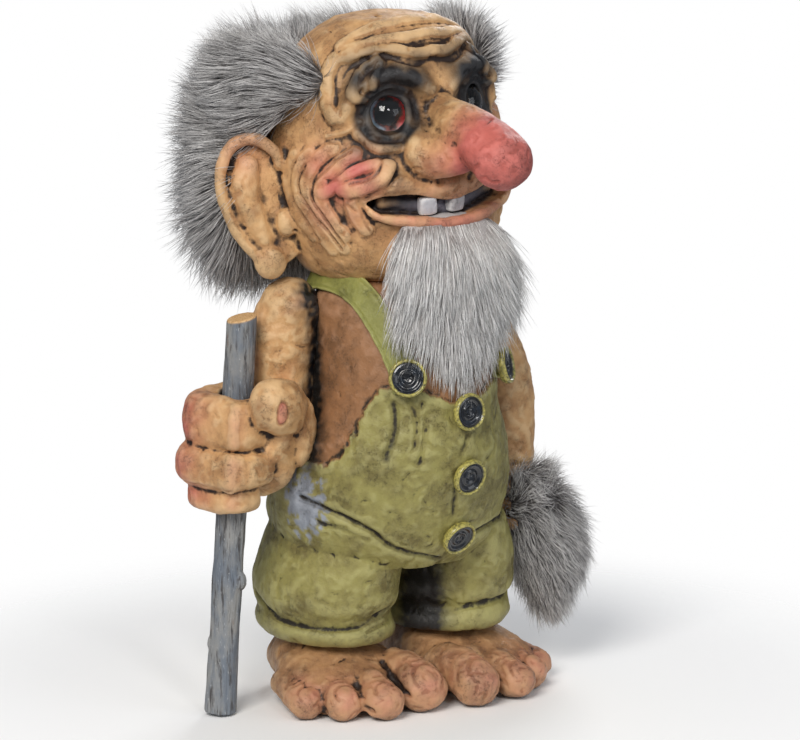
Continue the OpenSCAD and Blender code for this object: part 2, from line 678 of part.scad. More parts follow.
// Left hand: closed round the end of the tail
module hand_form(grow = 0) {
    curl_step = 9.2;
    translate(left_hand_spot) {
        limb([[0, 3, 14, 12, 13], [1, 2, 2, 13, 14], [1, 0, -8, 12, 13]], sides = 12, grow = grow);
        for (k = [0 : finger_count - 1])
            limb([for (q = [[-9, 8, 5.4], [-4, -9, 5.6], [8, -13.4, 5.8], [15, -5, 5.2]])
                    [q[0], q[1], 7 - curl_step * k, 5, q[2]]],
                wide = [0, 0, 1], sides = 8, grow = grow);
    }
}

module left_hand() {
    color("peru") placed() one_mesh() difference() {
        hand_form();
        torso_form(seat_gap + cloth_t);
        tail_channel();
    }
}

// Tail: from the seat of the trousers round his left side and straight down through the left hand
tail_entry = left_hand_spot + [10, 4, 14];
tail_end = left_hand_spot + [7, -1, -14];

// Straight way through the hand that the end of the tail lies in
module tail_channel() {
    r = tail_r * 0.72 + seat_gap + 0.4;
    limb([for (t = [-0.7, 1.4]) let (p = mixed(tail_entry, tail_end, t)) [p[0], p[1], p[2], r, r]],
        sides = 10);
}

module tail_form(grow = 0) {
    r = tail_r;
    limb([[6, 40, 94, r * 1.1, r * 1.1], [12, 58, 86, r, r], [34, 62, 74, r * 0.92, r * 0.92],
          [62, 46, 72, r * 0.86, r * 0.86], [82, 22, 86, r * 0.8, r * 0.8], [88, -7, 112, r * 0.76, r * 0.76],
          [tail_entry[0], tail_entry[1], tail_entry[2], r * 0.72, r * 0.72],
          [tail_end[0], tail_end[1], tail_end[2], r * 0.66, r * 0.66]],
        wide = [0, 0, 1], sides = 10, grow = grow);
}

module tail() {
    color("sienna") placed() one_mesh() difference() {
        tail_form();
        torso_form(seat_gap + cloth_t);
        left_arm_form(seat_gap);
    }
}

module tail_tuft() {
    t = tail_end;
    r = tuft_r;
    color("dimgray") placed() one_mesh() difference() {
        limb([[t[0] + 5, t[1] - 3, t[2] + 3, r * 0.55, r * 0.55],
              [t[0] + 11, t[1] - 5, t[2] - 6, r * 0.98, r * 0.95],
              [t[0] + 14, t[1] - 8, t[2] - 22, r, r * 0.95],
              [t[0] + 8, t[1] - 9, t[2] - 42, r * 0.5, r * 0.5]], sides = 14);
        torso_form(seat_gap + cloth_t);
        tail_form(seat_gap);
        hand_form(seat_gap + 0.5);
        left_arm_form(seat_gap);
        foot_form(1, seat_gap);
    }
}

// Hair: one pelt round the sides and back of the head, and the beard under the mouth
module hair_form() {
    up = head_h * 0.5;
    // Back of the head, from behind one ear to behind the other
    limb([[-head_w * 0.60, 26, head_h * 0.04, up * 0.62, hair_t * 0.72],
          [-head_w * 0.50, 42, head_h * 0.01, up * 0.86, hair_t],
          [-head_w * 0.17, 54, -head_h * 0.02, up * 0.96, hair_t],
          [head_w * 0.17, 54, -head_h * 0.02, up * 0.96, hair_t],
          [head_w * 0.50, 42, head_h * 0.03, up * 0.86, hair_t],
          [head_w * 0.60, 26, head_h * 0.06, up * 0.62, hair_t * 0.72]],
        wide = [0, 0, 1], sides = 14);
    // Temple locks above the ears
    for (side = [-1, 1])
        limb([[side * head_w * 0.42, -20, head_h * 0.27, up * 0.16, hair_t * 0.28],
              [side * head_w * 0.55, -2, head_h * 0.28, up * 0.30, hair_t * 0.60],
              [side * head_w * 0.60, 22, head_h * 0.22, up * 0.42, hair_t * 0.85]],
            wide = [0, 0, 1], sides = 12);
}

module hair_pelt() {
    color("gray") placed() one_mesh() difference() {
        in_head_frame() difference() {
            hair_form();
            head_mass(seat_gap);
            for (side = [-1, 1]) fold_room(side);
        }
        torso_form(seat_gap);
        right_arm_form(seat_gap);
        left_arm_form(seat_gap);
    }
}

beard_top = head_mid_h + mouth_z - mouth_h / 2 - 9;
module beard_pelt() {
    w = beard_w / 2;
    front = on_face(0, mouth_z)[1] + head_y;
    color("lightgray") placed() one_mesh() difference() {
        limb([[0, front + 6, beard_top - 4, w * 0.80, 11],
              [0, front - 3, beard_top - beard_l * 0.2, w, 15],
              [0, front - 9, beard_top - beard_l * 0.45, w * 0.92, 16],
              [0, front - 13, beard_top - beard_l * 0.7, w * 0.6, 12],
              [0, front - 15, beard_top - beard_l * 0.92, w * 0.2, 6]], sides = 16);
        in_head_frame() face_skin(seat_gap);
        torso_form(seat_gap + cloth_t);
        for (side = [-1, 1]) {
            brace_form(side, seat_gap);
            button_room(brace_button_spot(side));
        }
        button_room(front_button_spot(0));
    }
}

// Room that the hair leaves for the folds of the brow and cheek
module fold_room(side) {
    face_tube([[side * 34, eye_z + 18, 10], [side * 54, eye_z + 2, 10], [side * 62, -20, 12],
               [side * 52, -50, 12]], out = -2, sides = 10);
}

// Braces: flat straps from the bib over the shoulders and down the back
brace_button_z = bib_top + 4;
brace_lift = brace_t / 2 + seat_gap + cloth_t + 0.4;
// Places of a brace [turn, height, extra lift], from the bib over the shoulder to the seat
brace_places = [[36, brace_button_z - 6, 0], [39, shoulder_h - 32, 0], [46, shoulder_h - 14, 0.5],
    [60, shoulder_h, 2], [92, shoulder_h + 5, 4], [128, shoulder_h, 3], [146, shoulder_h - 18, 1],
    [156, shoulder_h - 50, 0], [162, waist_h + 4, 0]];
module brace_form(side, grow = 0) {
    run = [for (q = brace_places) on_stack(torso_stations, side * q[0], q[1], brace_lift + q[2])];
    inner = [for (q = brace_places) on_stack(torso_stations, side * q[0], q[1] - 6, -12)];
    smooth = smooth_run(run, 2);
    smooth_inner = smooth_run(inner, 2);
    strap(smooth, smooth - smooth_inner, brace_w, brace_t, grow);
}
module brace(side) {
    difference() {
        brace_form(side);
        torso_form(seat_gap);
        intersection() { torso_form(cloth_t + seat_gap); dungaree_region(); }
        in_head_frame() head_mass(seat_gap);
        if (side < 0) right_arm_form(seat_gap);
        if (side > 0) left_arm_form(seat_gap);
    }
}
module right_brace() { color("darkkhaki") placed() one_mesh() brace(-1); }
module left_brace() { color("darkkhaki") placed() one_mesh() brace(1); }

// Buttons: a dished face inside a raised rim, standing on the cloth
// A spot is [place, turn towards his left, tilt back]
function button_spot(turn, z, lift) =
    let (p = on_stack(torso_stations, turn, z, lift), reach = 4,
         rise = on_stack(torso_stations, turn, z + reach, lift)
             - on_stack(torso_stations, turn, z - reach, lift))
    [p, turn, atan2(rise[1] * cos(turn) - rise[0] * sin(turn), 2 * reach)];
front_top_z = waist_h + 41;
function front_button_spot(k) = button_spot(0, front_top_z - k * button_pitch, cloth_t + seat_gap);
function brace_button_spot(side) = button_spot(side * 36, brace_button_z, cloth_t + 2 * seat_gap + brace_t);

module at_button(spot) {
    translate(spot[0]) rotate([0, 0, spot[1]]) rotate([90 - spot[2], 0, 0]) children();
}
module button_room(spot) {
    at_button(spot) translate([0, 0, -2]) cylinder(d = button_d + 2 * seat_gap, h = button_t + 6, $fn = 24);
}
module button(spot) {
    r = button_d / 2;
    at_button(spot) translate([0, 0, 0.6]) difference() {
        rotate_extrude($fn = 40)
            polygon([[0, 0], [r * 0.9, 0], [r, button_t * 0.35], [r, button_t * 0.75], [r * 0.9, button_t],
                     [r * 0.76, button_t], [r * 0.68, button_t * 0.55], [r * 0.36, button_t * 0.48],
                     [r * 0.26, button_t * 0.72], [0, button_t * 0.6]]);
        // Two moulded sewing holes that don't go through
        for (side = [-1, 1]) translate([side * r * 0.5, 0, button_t * 0.25])
            cylinder(d = r * 0.2, h = button_t, $fn = 16);
    }
}
module right_brace_button() { color("darkslategray") placed() button(brace_button_spot(-1)); }
module left_brace_button() { color("darkslategray") placed() button(brace_button_spot(1)); }
module front_button_top() { color("darkslategray") placed() button(front_button_spot(0)); }
module front_button_middle() { color("darkslategray") placed() button(front_button_spot(1)); }
module front_button_bottom() { color("darkslategray") placed() button(front_button_spot(2)); }

// Moves a piece from the figure's own frame, so that the outline's middle is the origin
module placed() { translate(-plan_middle) children(); }

torso_casting();
torso_core();
right_foot();
left_foot();
head_casting();
head_core();
right_eye();
left_eye();
right_iris();
left_iris();
right_tooth();
left_tooth();
right_arm();
right_fist();
left_arm();
left_hand();
staff();
tail();
tail_tuft();
hair_pelt();
beard_pelt();
right_brace();
left_brace();
right_brace_button();
left_brace_button();
front_button_top();
front_button_middle();
front_button_bottom();
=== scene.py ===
"""The looks of a standing folk figure: cast latex skins, glass eyes, long fur and a twig for a staff.

Lengths are millimetres in the figure's own frame, where he faces -Y and his right hand, with the
staff, is at -X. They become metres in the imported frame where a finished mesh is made.
"""

import logging
import math
from dataclasses import dataclass
from enum import Enum
from typing import Sequence

import bpy
import numpy as np
from bpy.types import Material, Mesh, Node, NodeSocket, NodeTree, Object
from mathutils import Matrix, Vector, noise


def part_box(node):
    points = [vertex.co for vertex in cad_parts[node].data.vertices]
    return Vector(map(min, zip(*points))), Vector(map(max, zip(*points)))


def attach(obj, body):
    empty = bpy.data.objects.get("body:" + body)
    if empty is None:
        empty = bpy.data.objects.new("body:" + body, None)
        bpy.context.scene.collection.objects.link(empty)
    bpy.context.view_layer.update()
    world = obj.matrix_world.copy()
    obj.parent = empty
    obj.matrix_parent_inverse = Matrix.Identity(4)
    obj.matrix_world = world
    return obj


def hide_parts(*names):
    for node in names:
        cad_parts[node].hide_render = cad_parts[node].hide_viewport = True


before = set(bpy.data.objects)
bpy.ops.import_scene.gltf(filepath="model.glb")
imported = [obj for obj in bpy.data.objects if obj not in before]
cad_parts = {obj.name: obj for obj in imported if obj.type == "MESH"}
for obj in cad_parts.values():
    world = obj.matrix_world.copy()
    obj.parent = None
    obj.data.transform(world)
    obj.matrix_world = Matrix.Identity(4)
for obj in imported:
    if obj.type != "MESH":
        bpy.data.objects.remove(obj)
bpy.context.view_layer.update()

log = logging.getLogger("folk_figure")

MM = 0.001
# Middle of the figure's outline seen from above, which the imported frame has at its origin
PLAN_MIDDLE = np.array([4.6, -18.6, 0.0])
# Shares of their faces that the finest meshes keep
BODY_KEEP, HEAD_KEEP, STAFF_KEEP = 0.8, 0.69, 0.6
BODY = "figure"
STAFF_BODY = "walking_staff"

Array = np.ndarray
# A few numbers: a place, a direction or a place with its radii
Row = Sequence[float]
Places = Sequence[Row]
Colour = tuple[float, float, float, float]


class Side(Enum):
    """His right side is at -X, his left at +X."""

    RIGHT = -1
    LEFT = 1


def srgb(red: int, green: int, blue: int) -> Colour:
    """Turns a colour as a painter names it, 0 to 255, into the shader's linear one."""
    def linear(level: float) -> float:
        """One channel, 0 to 1."""
        return level / 12.92 if level <= 0.04045 else ((level + 0.055) / 1.055) ** 2.4
    return (linear(red / 255), linear(green / 255), linear(blue / 255), 1.0)


def to_packed(points: Array) -> Array:
    """Moves points from the figure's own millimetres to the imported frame's metres."""
    return (points - PLAN_MIDDLE) * MM


# Shapes


@dataclass
class Shell:
    """A closed mesh whose faces point outwards.

    Attributes:
        points: One row per vertex, in millimetres.
        faces: Vertex numbers of each face.
    """

    points: Array
    faces: list[tuple[int, ...]]

    def turned(self, degrees: float, axis: int = 2) -> "Shell":
        """Returns the shell turned about a coordinate axis through the origin."""
        return Shell(self.points @ turn_matrix(degrees, axis).T, self.faces)

    def moved(self, offset: Row) -> "Shell":
        """Returns the shell moved by an offset."""
        return Shell(self.points + np.asarray(offset, float), self.faces)


def turn_matrix(degrees: float, axis: int) -> Array:
    """Rotation about x, y or z, given as axis 0, 1 or 2."""
    c, s = math.cos(math.radians(degrees)), math.sin(math.radians(degrees))
    a, b = [(1, 2), (2, 0), (0, 1)][axis]
    matrix = np.eye(3)
    matrix[a, a] = matrix[b, b] = c
    matrix[a, b], matrix[b, a] = -s, s
    return matrix


def smooth_run(stations: Places, steps: int) -> Array:
    """Runs a smooth curve through stations.

    Args:
        stations: Rows of numbers, each a place and its radii.
        steps: How many pieces each stretch is cut into.

    Returns:
        The stations and those between them.
    """
    s = np.asarray(stations, float)
    padded = np.vstack([s[:1], s, s[-1:]])
    t = (np.arange(steps) / steps)[:, None]
    rows = []
    for a, b, c, d in zip(padded, padded[1:], padded[2:], padded[3:]):
        rows.append(0.5 * (2 * b + (c - a) * t + (2 * a - 5 * b + 4 * c - d) * t**2
                           + (3 * b - a - 3 * c + d) * t**3))
    return np.vstack(rows + [s[-1:]])


def skin_over(rings: Array, first: Array, last: Array) -> Shell:
    """Closes a run of rings with a point at each end.

    Args:
        rings: Array of rings, sides and coordinates.
        first: The point that closes the first ring.
        last: The point that closes the last ring.

    Returns:
        The closed shell.
    """
    count, sides = rings.shape[:2]
    points = np.vstack([[first], rings.reshape(-1, 3), [last]])
    faces: list[tuple[int, ...]] = []
    end = len(points) - 1
    for k in range(sides):
        n = (k + 1) % sides
        faces.append((0, 1 + n, 1 + k))
        for i in range(count - 1):
            low, high = 1 + i * sides, 1 + (i + 1) * sides
            faces.append((low + k, low + n, high + n, high + k))
        top = 1 + (count - 1) * sides
        faces.append((end, top + k, top + n))
    return Shell(points, faces)


def angles_of(sides: int) -> Array:
    """Even angles round a circle."""
    return np.arange(sides) * 2 * math.pi / sides


def limb(stations: Places, wide: Row = (1, 0, 0), sides: int = 20, steps: int = 4,
         dome: float = 1.0, square: float = 1.0) -> Shell:
    """Sweeps a tube with rounded ends along stations.

    Args:
        stations: Rows of x, y, z, the radius towards wide and the radius across it.
        wide: The direction of the first radius.
        sides: Points round the tube.
        steps: Pieces between two stations.
        dome: Height of the rounded ends as a share of the end's radius.
        square: 1 for an oval section, less for one with flatter sides.

    Returns:
        The closed tube.
    """
    s = smooth_run(stations, steps)
    place, radii = s[:, :3], np.maximum(s[:, 3:5], 0.05)
    along = np.vstack([place[1:2] - place[:1], place[2:] - place[:-2], place[-1:] - place[-2:-1]])
    along /= np.linalg.norm(along, axis=1)[:, None]
    across = np.asarray(wide, float) - along * (along @ np.asarray(wide, float))[:, None]
    across /= np.linalg.norm(across, axis=1)[:, None]
    third = np.cross(along, across)
    angles = angles_of(sides)
    c, s_ = (np.sign(f(angles)) * np.abs(f(angles)) ** square for f in (np.cos, np.sin))

    def section(i: int, shift: float, scale: float) -> Array:
        """One ring at station i, moved along the tube and scaled."""
        u, v = radii[i] * scale
        return place[i] + along[i] * shift + np.outer(c * u, across[i]) + np.outer(s_ * v, third[i])

    tip0, tip1 = radii[0].min() * dome, radii[-1].min() * dome
    bows = [math.radians(a) for a in (72, 52, 33, 15)]
    rings = [section(0, -tip0 * math.sin(a), math.cos(a)) for a in bows]
    rings += [section(i, 0, 1) for i in range(len(s))]
    rings += [section(-1, tip1 * math.sin(a), math.cos(a)) for a in reversed(bows)]
    return skin_over(np.array(rings), place[0] - along[0] * tip0, place[-1] + along[-1] * tip1)


def tube(places: Places, radius: float, sides: int = 12, steps: int = 4) -> Shell:
    """Sweeps a round tube of one radius through places."""
    return limb([[*p, radius, radius] for p in places], wide=(0.13, 0.19, 0.97), sides=sides, steps=steps)


def stack(stations: Places, sides: int = 72, steps: int = 4, crown: float = 3.0) -> Shell:
    """Lofts level rings at stations of x, y, z and the radii in x and y."""
    s = smooth_run(stations, steps)
    angles = angles_of(sides)
    rings = np.stack([s[:, None, 0] + s[:, None, 3] * np.cos(angles),
                      s[:, None, 1] + s[:, None, 4] * np.sin(angles),
                      np.repeat(s[:, 2:3], sides, axis=1)], axis=2)
    return skin_over(rings, s[0, :3] - [0, 0, crown], s[-1, :3] + [0, 0, crown])


def blob(middle: Row, radii: Row) -> Shell:
    """An egg of clay: an ellipsoid at a place."""
    x, y, z = middle
    heights = [-0.97, -0.85, -0.6, -0.3, 0, 0.3, 0.6, 0.85, 0.97]
    rows = [[x, y, z + radii[2] * h, radii[0] * math.sqrt(1 - h * h), radii[1] * math.sqrt(1 - h * h)]
            for h in heights]
    return stack(rows, sides=24, steps=1, crown=radii[2] * 0.03)


def box_shell(low: Row, high: Row) -> Shell:
    """A closed box between two corners."""
    x, y, z = zip(low, high)
    points = np.array([[x[i], y[j], z[k]] for k in (0, 1) for j in (0, 1) for i in (0, 1)], float)
    faces = [(0, 2, 3, 1), (4, 5, 7, 6), (0, 1, 5, 4), (2, 6, 7, 3), (0, 4, 6, 2), (1, 3, 7, 5)]
    return Shell(points, faces)


def joined(shells: Sequence[Shell]) -> Shell:
    """Puts shells side by side in one mesh."""
    points, faces, base = [], [], 0
    for shell in shells:
        points.append(shell.points)
        faces += [tuple(v + base for v in face) for face in shell.faces]
        base += len(shell.points)
    return Shell(np.vstack(points), faces)


def mesh_of(name: str, points: Array, faces: Sequence[Sequence[int]]) -> Mesh:
    """Makes a smooth-shaded Blender mesh."""
    mesh = bpy.data.meshes.new(name)
    mesh.from_pydata([tuple(p) for p in points], [], [tuple(int(v) for v in f) for f in faces])
    mesh.polygons.foreach_set("use_smooth", np.ones(len(mesh.polygons), bool))
    mesh.update()
    return mesh


def linked(name: str, mesh: Mesh) -> Object:
    """Puts a mesh in the scene as an object at the origin."""
    thing = bpy.data.objects.new(name, mesh)
    bpy.context.scene.collection.objects.link(thing)
    return thing


def evaluated(thing: Object) -> Mesh:
    """Returns the mesh that an object's modifiers give, and removes the object."""
    depsgraph = bpy.context.evaluated_depsgraph_get()
    mesh = bpy.data.meshes.new_from_object(thing.evaluated_get(depsgraph), depsgraph=depsgraph)
    bpy.data.objects.remove(thing)
    return mesh


class Skin:
    """A cast skin as arrays, so that it can be smoothed, carved and painted.

    Attributes:
        points: One row per vertex, in millimetres.
        quads: Four vertex numbers per face.
        paint: Named values from 0 to 1, one per vertex.
    """

    def __init__(self, shells: Sequence[Shell], voxel: float, cuts: Sequence[Shell] = (),
                 fills: Sequence[Shell] = (), rounds: int = 3) -> None:
        """Fuses overlapping shapes into one skin.

        Args:
            shells: Closed shapes that overlap.
            voxel: Length of the fused skin's edges.
            cuts: Shapes cut away from the fused ones.
            fills: Shapes added after the cuts.
            rounds: How often the skin is smoothed.
        """
        whole = joined(shells)
        thing = linked("clay", mesh_of("clay", whole.points, whole.faces))
        self._fuse(thing, voxel)
        cutters = [linked("cutter", mesh_of("cutter", cut.points, cut.faces)) for cut in cuts]
        for cutter in cutters:
            boolean = thing.modifiers.new("cut", "BOOLEAN")
            boolean.operation = "DIFFERENCE"
            boolean.solver = "FAST"
            boolean.object = cutter
        mesh = evaluated(thing)
        for cutter in cutters:
            bpy.data.objects.remove(cutter)
        if cuts or fills:
            points, faces = self._arrays(mesh)
            again = joined([Shell(points, faces)] + list(fills))
            thing = linked("clay", mesh_of("clay", again.points, again.faces))
            self._fuse(thing, voxel)
            mesh = evaluated(thing)
        self.points, faces = self._arrays(mesh)
        self.quads = np.array([f if len(f) == 4 else (*f, f[-1]) for f in faces], int)
        edges = np.vstack([self.quads[:, [i, (i + 1) % 4]] for i in range(4)])
        edges = np.unique(np.sort(edges, axis=1), axis=0)
        self.edges = edges[edges[:, 0] != edges[:, 1]]
        self.degree = np.bincount(self.edges.ravel(), minlength=len(self.points)).astype(float)
        self.paint: dict[str, Array] = {}
        self.points = self.spread(self.points, rounds)

    @staticmethod
    def _fuse(thing: Object, voxel: float) -> None:
        """Adds a voxel remesh."""
        remesh = thing.modifiers.new("fuse", "REMESH")
        remesh.mode = "VOXEL"
        remesh.voxel_size = voxel

    @staticmethod
    def _arrays(mesh: Mesh) -> tuple[Array, list[tuple[int, ...]]]:
        """Reads a mesh into arrays and removes it."""
        points = np.zeros(len(mesh.vertices) * 3)
        mesh.vertices.foreach_get("co", points)
        faces = [tuple(p.vertices) for p in mesh.polygons]
        bpy.data.meshes.remove(mesh)
        return points.reshape(-1, 3), faces

    def spread(self, values: Array, rounds: int, share: float = 0.6) -> Array:
        """Evens values out among neighbours, again and again."""
        values = values.reshape(len(self.points), -1).copy()
        a, b = self.edges.T
        for _ in range(rounds):
            for column in range(values.shape[1]):
                v = values[:, column]
                total = np.bincount(a, v[b], len(v)) + np.bincount(b, v[a], len(v))
                values[:, column] = v + share * (total / self.degree - v)
        return values if values.shape[1] > 1 else values[:, 0]

    def normals(self) -> Array:
        """Outward directions at the vertices."""
        p = self.points[self.quads]
        face = np.cross(p[:, 2] - p[:, 0], p[:, 3] - p[:, 1])
        total = np.zeros_like(self.points)
        for corner in range(4):
            for axis in range(3):
                total[:, axis] += np.bincount(self.quads[:, corner], face[:, axis], len(self.points))
        return total / np.maximum(np.linalg.norm(total, axis=1), 1e-9)[:, None]

    def push(self, amount: Array) -> None:
        """Moves every vertex along its normal by an amount in millimetres."""
        self.points = self.points + self.normals() * np.asarray(amount)[:, None]

    def lumps(self, size: float, seed: float) -> Array:
        """Soft noise from -1 to 1 with lumps of a size in millimetres."""
        offset = Vector((seed, seed * 1.7, seed * 2.3))
        return np.array([noise.noise(Vector(p) / size + offset) for p in self.points])

    def drift(self, size: float, seed: float) -> Array:
        """Soft noise as vectors, from three seeds one apart."""
        return np.stack([self.lumps(size, seed + k) for k in range(3)], axis=1)

    def knead(self, seed: float, strength: float = 1.0) -> None:
        """Gives the skin the uneven planes and small lumps of modelled clay."""
        wide = self.lumps(11, seed)
        planes = np.clip(self.lumps(5.5, seed + 9) * 2.2, -1, 1)
        fine = self.lumps(2.4, seed + 5)
        self.push(strength * (0.75 * wide + 0.34 * planes + 0.16 * fine))

    def close_to(self, run: Places, room: float) -> Array:
        """Finds the vertices in the box round a run of places.

        Args:
            run: The places.
            room: How far the box goes beyond them on each side.

        Returns:
            Numbers of the vertices.
        """
        run = np.asarray(run, float)
        low, high = run.min(axis=0) - room, run.max(axis=0) + room
        return np.flatnonzero(((self.points > low) & (self.points < high)).all(axis=1))

    def carve(self, marks: Sequence[tuple[Places, float, float]]) -> None:
        """Cuts creases along runs of places, each with a width and a depth in millimetres."""
        total = np.zeros(len(self.points))
        for run, wide, deep in marks:
            at = self.close_to(run, 3 * wide + 4)
            if len(at):
                total[at] = np.minimum(total[at], -deep * trace(self.points[at], run, wide))
        self.push(total)

    def swell(self, bands: Sequence[tuple[Places, float, float]]) -> None:
        """Raises flat-topped folds along runs of places, each with a half width and a height."""
        total = np.zeros(len(self.points))
        for run, half, tall in bands:
            at = self.close_to(run, half + 3)
            if len(at):
                d = distance_to_run(self.points[at], run)
                total[at] = np.maximum(total[at], tall * np.clip(1 - (d / half) ** 4, 0, 1))
        self.push(total)

    def soften(self, where: Array, rounds: int) -> None:
        """Smooths the skin where a value from 0 to 1 says."""
        self.points += (self.spread(self.points, rounds) - self.points) * where[:, None]

    def mirror(self) -> None:
        """Mirrors the skin left to right, with its faces still outwards."""
        self.points = self.points * [-1, 1, 1]
        self.quads = self.quads[:, ::-1]

    def scratch(self, seed: int, count: int, where: Array | None = None, depth: float = 0.55) -> None:
        """Cuts short random tool marks into the skin.

        Args:
            seed: Seed of the random places.
            count: How many marks.
            where: Chance of a mark at each vertex, or None for all alike.
            depth: Depth of the deepest mark.
        """
        random = np.random.default_rng(seed)
        chance = np.ones(len(self.points)) if where is None else np.clip(where, 0, None)
        starts = random.choice(len(self.points), count, p=chance / chance.sum())
        normals = self.normals()
        total = np.zeros(len(self.points))
        for start in starts:
            across = np.cross(normals[start], random.normal(size=3))
            across /= np.linalg.norm(across) + 1e-9
            a = self.points[start]
            near = np.flatnonzero(np.abs(self.points - a).max(axis=1) < 11)
            b = a + across * random.uniform(2.5, 8)
            middle = (a + b) / 2 + np.cross(across, normals[start]) * random.uniform(-1.5, 1.5)
            d = np.minimum(distance_to(self.points[near], a, middle),
                           distance_to(self.points[near], middle, b))
            mark = -depth * random.uniform(0.35, 1) * np.exp(-((d / random.uniform(0.6, 1.0)) ** 2))
            total[near] = np.minimum(total[near], mark)
        self.push(total)

    def hollows(self) -> Array:
        """How deep each vertex lies in a crease: 0.5 on a plain surface, 1 in a deep crease, 0 on a ridge."""
        normals = self.normals()
        near = ((self.spread(self.points, 5) - self.points) * normals).sum(axis=1)
        far = ((self.spread(self.points, 45) - self.points) * normals).sum(axis=1)
        return np.clip(0.5 + 1.5 * near + 0.30 * far, 0, 1)

    def piece(self, name: str, keep: float = 1.0) -> Object:
        """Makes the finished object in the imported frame, with its paint as attributes.

        Args:
            name: Name of the piece.
            keep: Share of the faces that it keeps, the flattest ones going first.

        Returns:
            The object.
        """
        mesh = mesh_of(name, to_packed(self.points), self.quads)
        for key, values in {"hollow": self.spread(self.hollows(), 1), **self.paint}.items():
            layer = mesh.attributes.new(key, "FLOAT", "POINT")
            layer.data.foreach_set("value", np.asarray(values, np.float32))
        thing = linked(name, mesh)
        if keep < 1:
            thing.modifiers.new("thin", "DECIMATE").ratio = keep
            thinned = evaluated(thing)
            bpy.data.meshes.remove(mesh)
            thinned.name = name
            thing = linked(name, thinned)
        return thing


def distance_to(points: Array, a: Array, b: Array) -> Array:
    """Distance from points to the straight stretch between a and b, in any number of dimensions."""
    a, b = np.asarray(a, float), np.asarray(b, float)
    along = b - a
    t = np.clip((points - a) @ along / max(along @ along, 1e-9), 0, 1)
    return np.linalg.norm(points - a - t[:, None] * along, axis=1)


def distance_to_run(points: Array, run: Places, steps: int = 4) -> Array:
    """Distance from points to a smooth run through places."""
    places = smooth_run(run, steps)
    return np.min([distance_to(points, a, b) for a, b in zip(places, places[1:])], axis=0)


def trace(points: Array, run: Places, width: float) -> Array:
    """A soft line: 1 on a run of places, falling to about 0 beyond its width."""
    return np.exp(-((distance_to_run(points, run) / width) ** 2))


def section_at(run: Array, z: float | Array) -> list[Array]:
    """Middle x and y and radii x and y of a run of level stations, at a height or at many."""
    return [np.interp(z, run[:, 2], run[:, k]) for k in (0, 1, 3, 4)]


def on_section(run: Array, turn: float, z: float, out: float) -> Array:
    """Finds a place on the side of a run of level stations.

    Args:
        run: The stations.
        turn: Bearing in degrees, 0 at the front and growing towards his left.
        z: Height.
        out: How far out from the stations' section.

    Returns:
        The place.
    """
    x, y, rx, ry = section_at(run, z)
    a = math.radians(turn)
    return np.array([x + (rx + out) * math.sin(a), y - (ry + out) * math.cos(a), z])


def near(points: Array, middle: Row, reach: float | Row) -> Array:
    """A soft patch: 1 at the middle, falling to about 0 beyond its reach."""
    d = (points - np.asarray(middle, float)) / np.asarray(reach, float)
    return np.exp(-((d**2).sum(axis=1)))


def ease(value: Array, low: float, high: float) -> Array:
    """Rises smoothly from 0 at low to 1 at high."""
    t = np.clip((value - low) / (high - low), 0, 1)
    return t * t * (3 - 2 * t)


# Finishes


class Graph:
    """Shorthand for building one node tree."""

    def __init__(self, tree: NodeTree) -> None:
        """Takes an empty tree."""
        self.tree = tree

    def add(self, kind: str, inputs: dict | None = None, **settings: object) -> Node:
        """Adds a node.

        Args:
            kind: The node's type name.
            inputs: Values or sockets for its inputs, by name or number.
            settings: Properties of the node.

        Returns:
            The new node.
        """
        node = self.tree.nodes.new(kind)
        for key, value in settings.items():
            setattr(node, key, value)
        self.fill(node, inputs or {})
        return node

    def fill(self, node: Node, values: dict) -> None:
        """Links or sets several of a node's inputs, given by name or number."""
        for key, value in values.items():
            self.feed(node.inputs[key], value)

    def feed(self, socket: NodeSocket, value: object) -> None:
        """Links a socket to an input, or sets a plain value on it."""
        if isinstance(value, NodeSocket):
            self.tree.links.new(value, socket)
        else:
            socket.default_value = value

    def attribute(self, name: str) -> NodeSocket:
        """A value painted on the mesh."""
        return self.add("ShaderNodeAttribute", attribute_name=name).outputs["Fac"]

    def maths(self, operation: str, a: object, b: object = 0.0, clamp: bool = False) -> NodeSocket:
        """One sum on one or two values."""
        node = self.add("ShaderNodeMath", {0: a, 1: b}, operation=operation, use_clamp=clamp)
        return node.outputs[0]

    def mixed(self, share: object, a: object, b: object, blend: str = "MIX") -> NodeSocket:
        """Mixes two colours."""
        node = self.add("ShaderNodeMix", {0: share, 6: a, 7: b}, data_type="RGBA", blend_type=blend)
        return node.outputs[2]

    def between(self, value: object, low: float, high: float, to_low: float = 0.0,
                to_high: float = 1.0) -> NodeSocket:
        """Maps a value smoothly from one range to another."""
        node = self.add("ShaderNodeMapRange", {"Value": value, "From Min": low, "From Max": high,
                                               "To Min": to_low, "To Max": to_high},
                        interpolation_type="SMOOTHSTEP")
        return node.outputs[0]

    def noise(self, size: float, detail: float = 3.0, rough: float = 0.55, stretch: Row = (1, 1, 1),
              offset: float = 0.0) -> NodeSocket:
        """Cloudy noise whose blots measure a size in millimetres, on the object's own coordinates."""
        where = self.add("ShaderNodeTexCoord").outputs["Object"]
        place = self.add("ShaderNodeMapping", {"Vector": where, "Location": (offset, offset, offset),
                                               "Scale": tuple(stretch)})
        node = self.add("ShaderNodeTexNoise", {"Vector": place.outputs[0], "Scale": 1 / (size * MM),
                                               "Detail": detail, "Roughness": rough})
        return node.outputs[0]


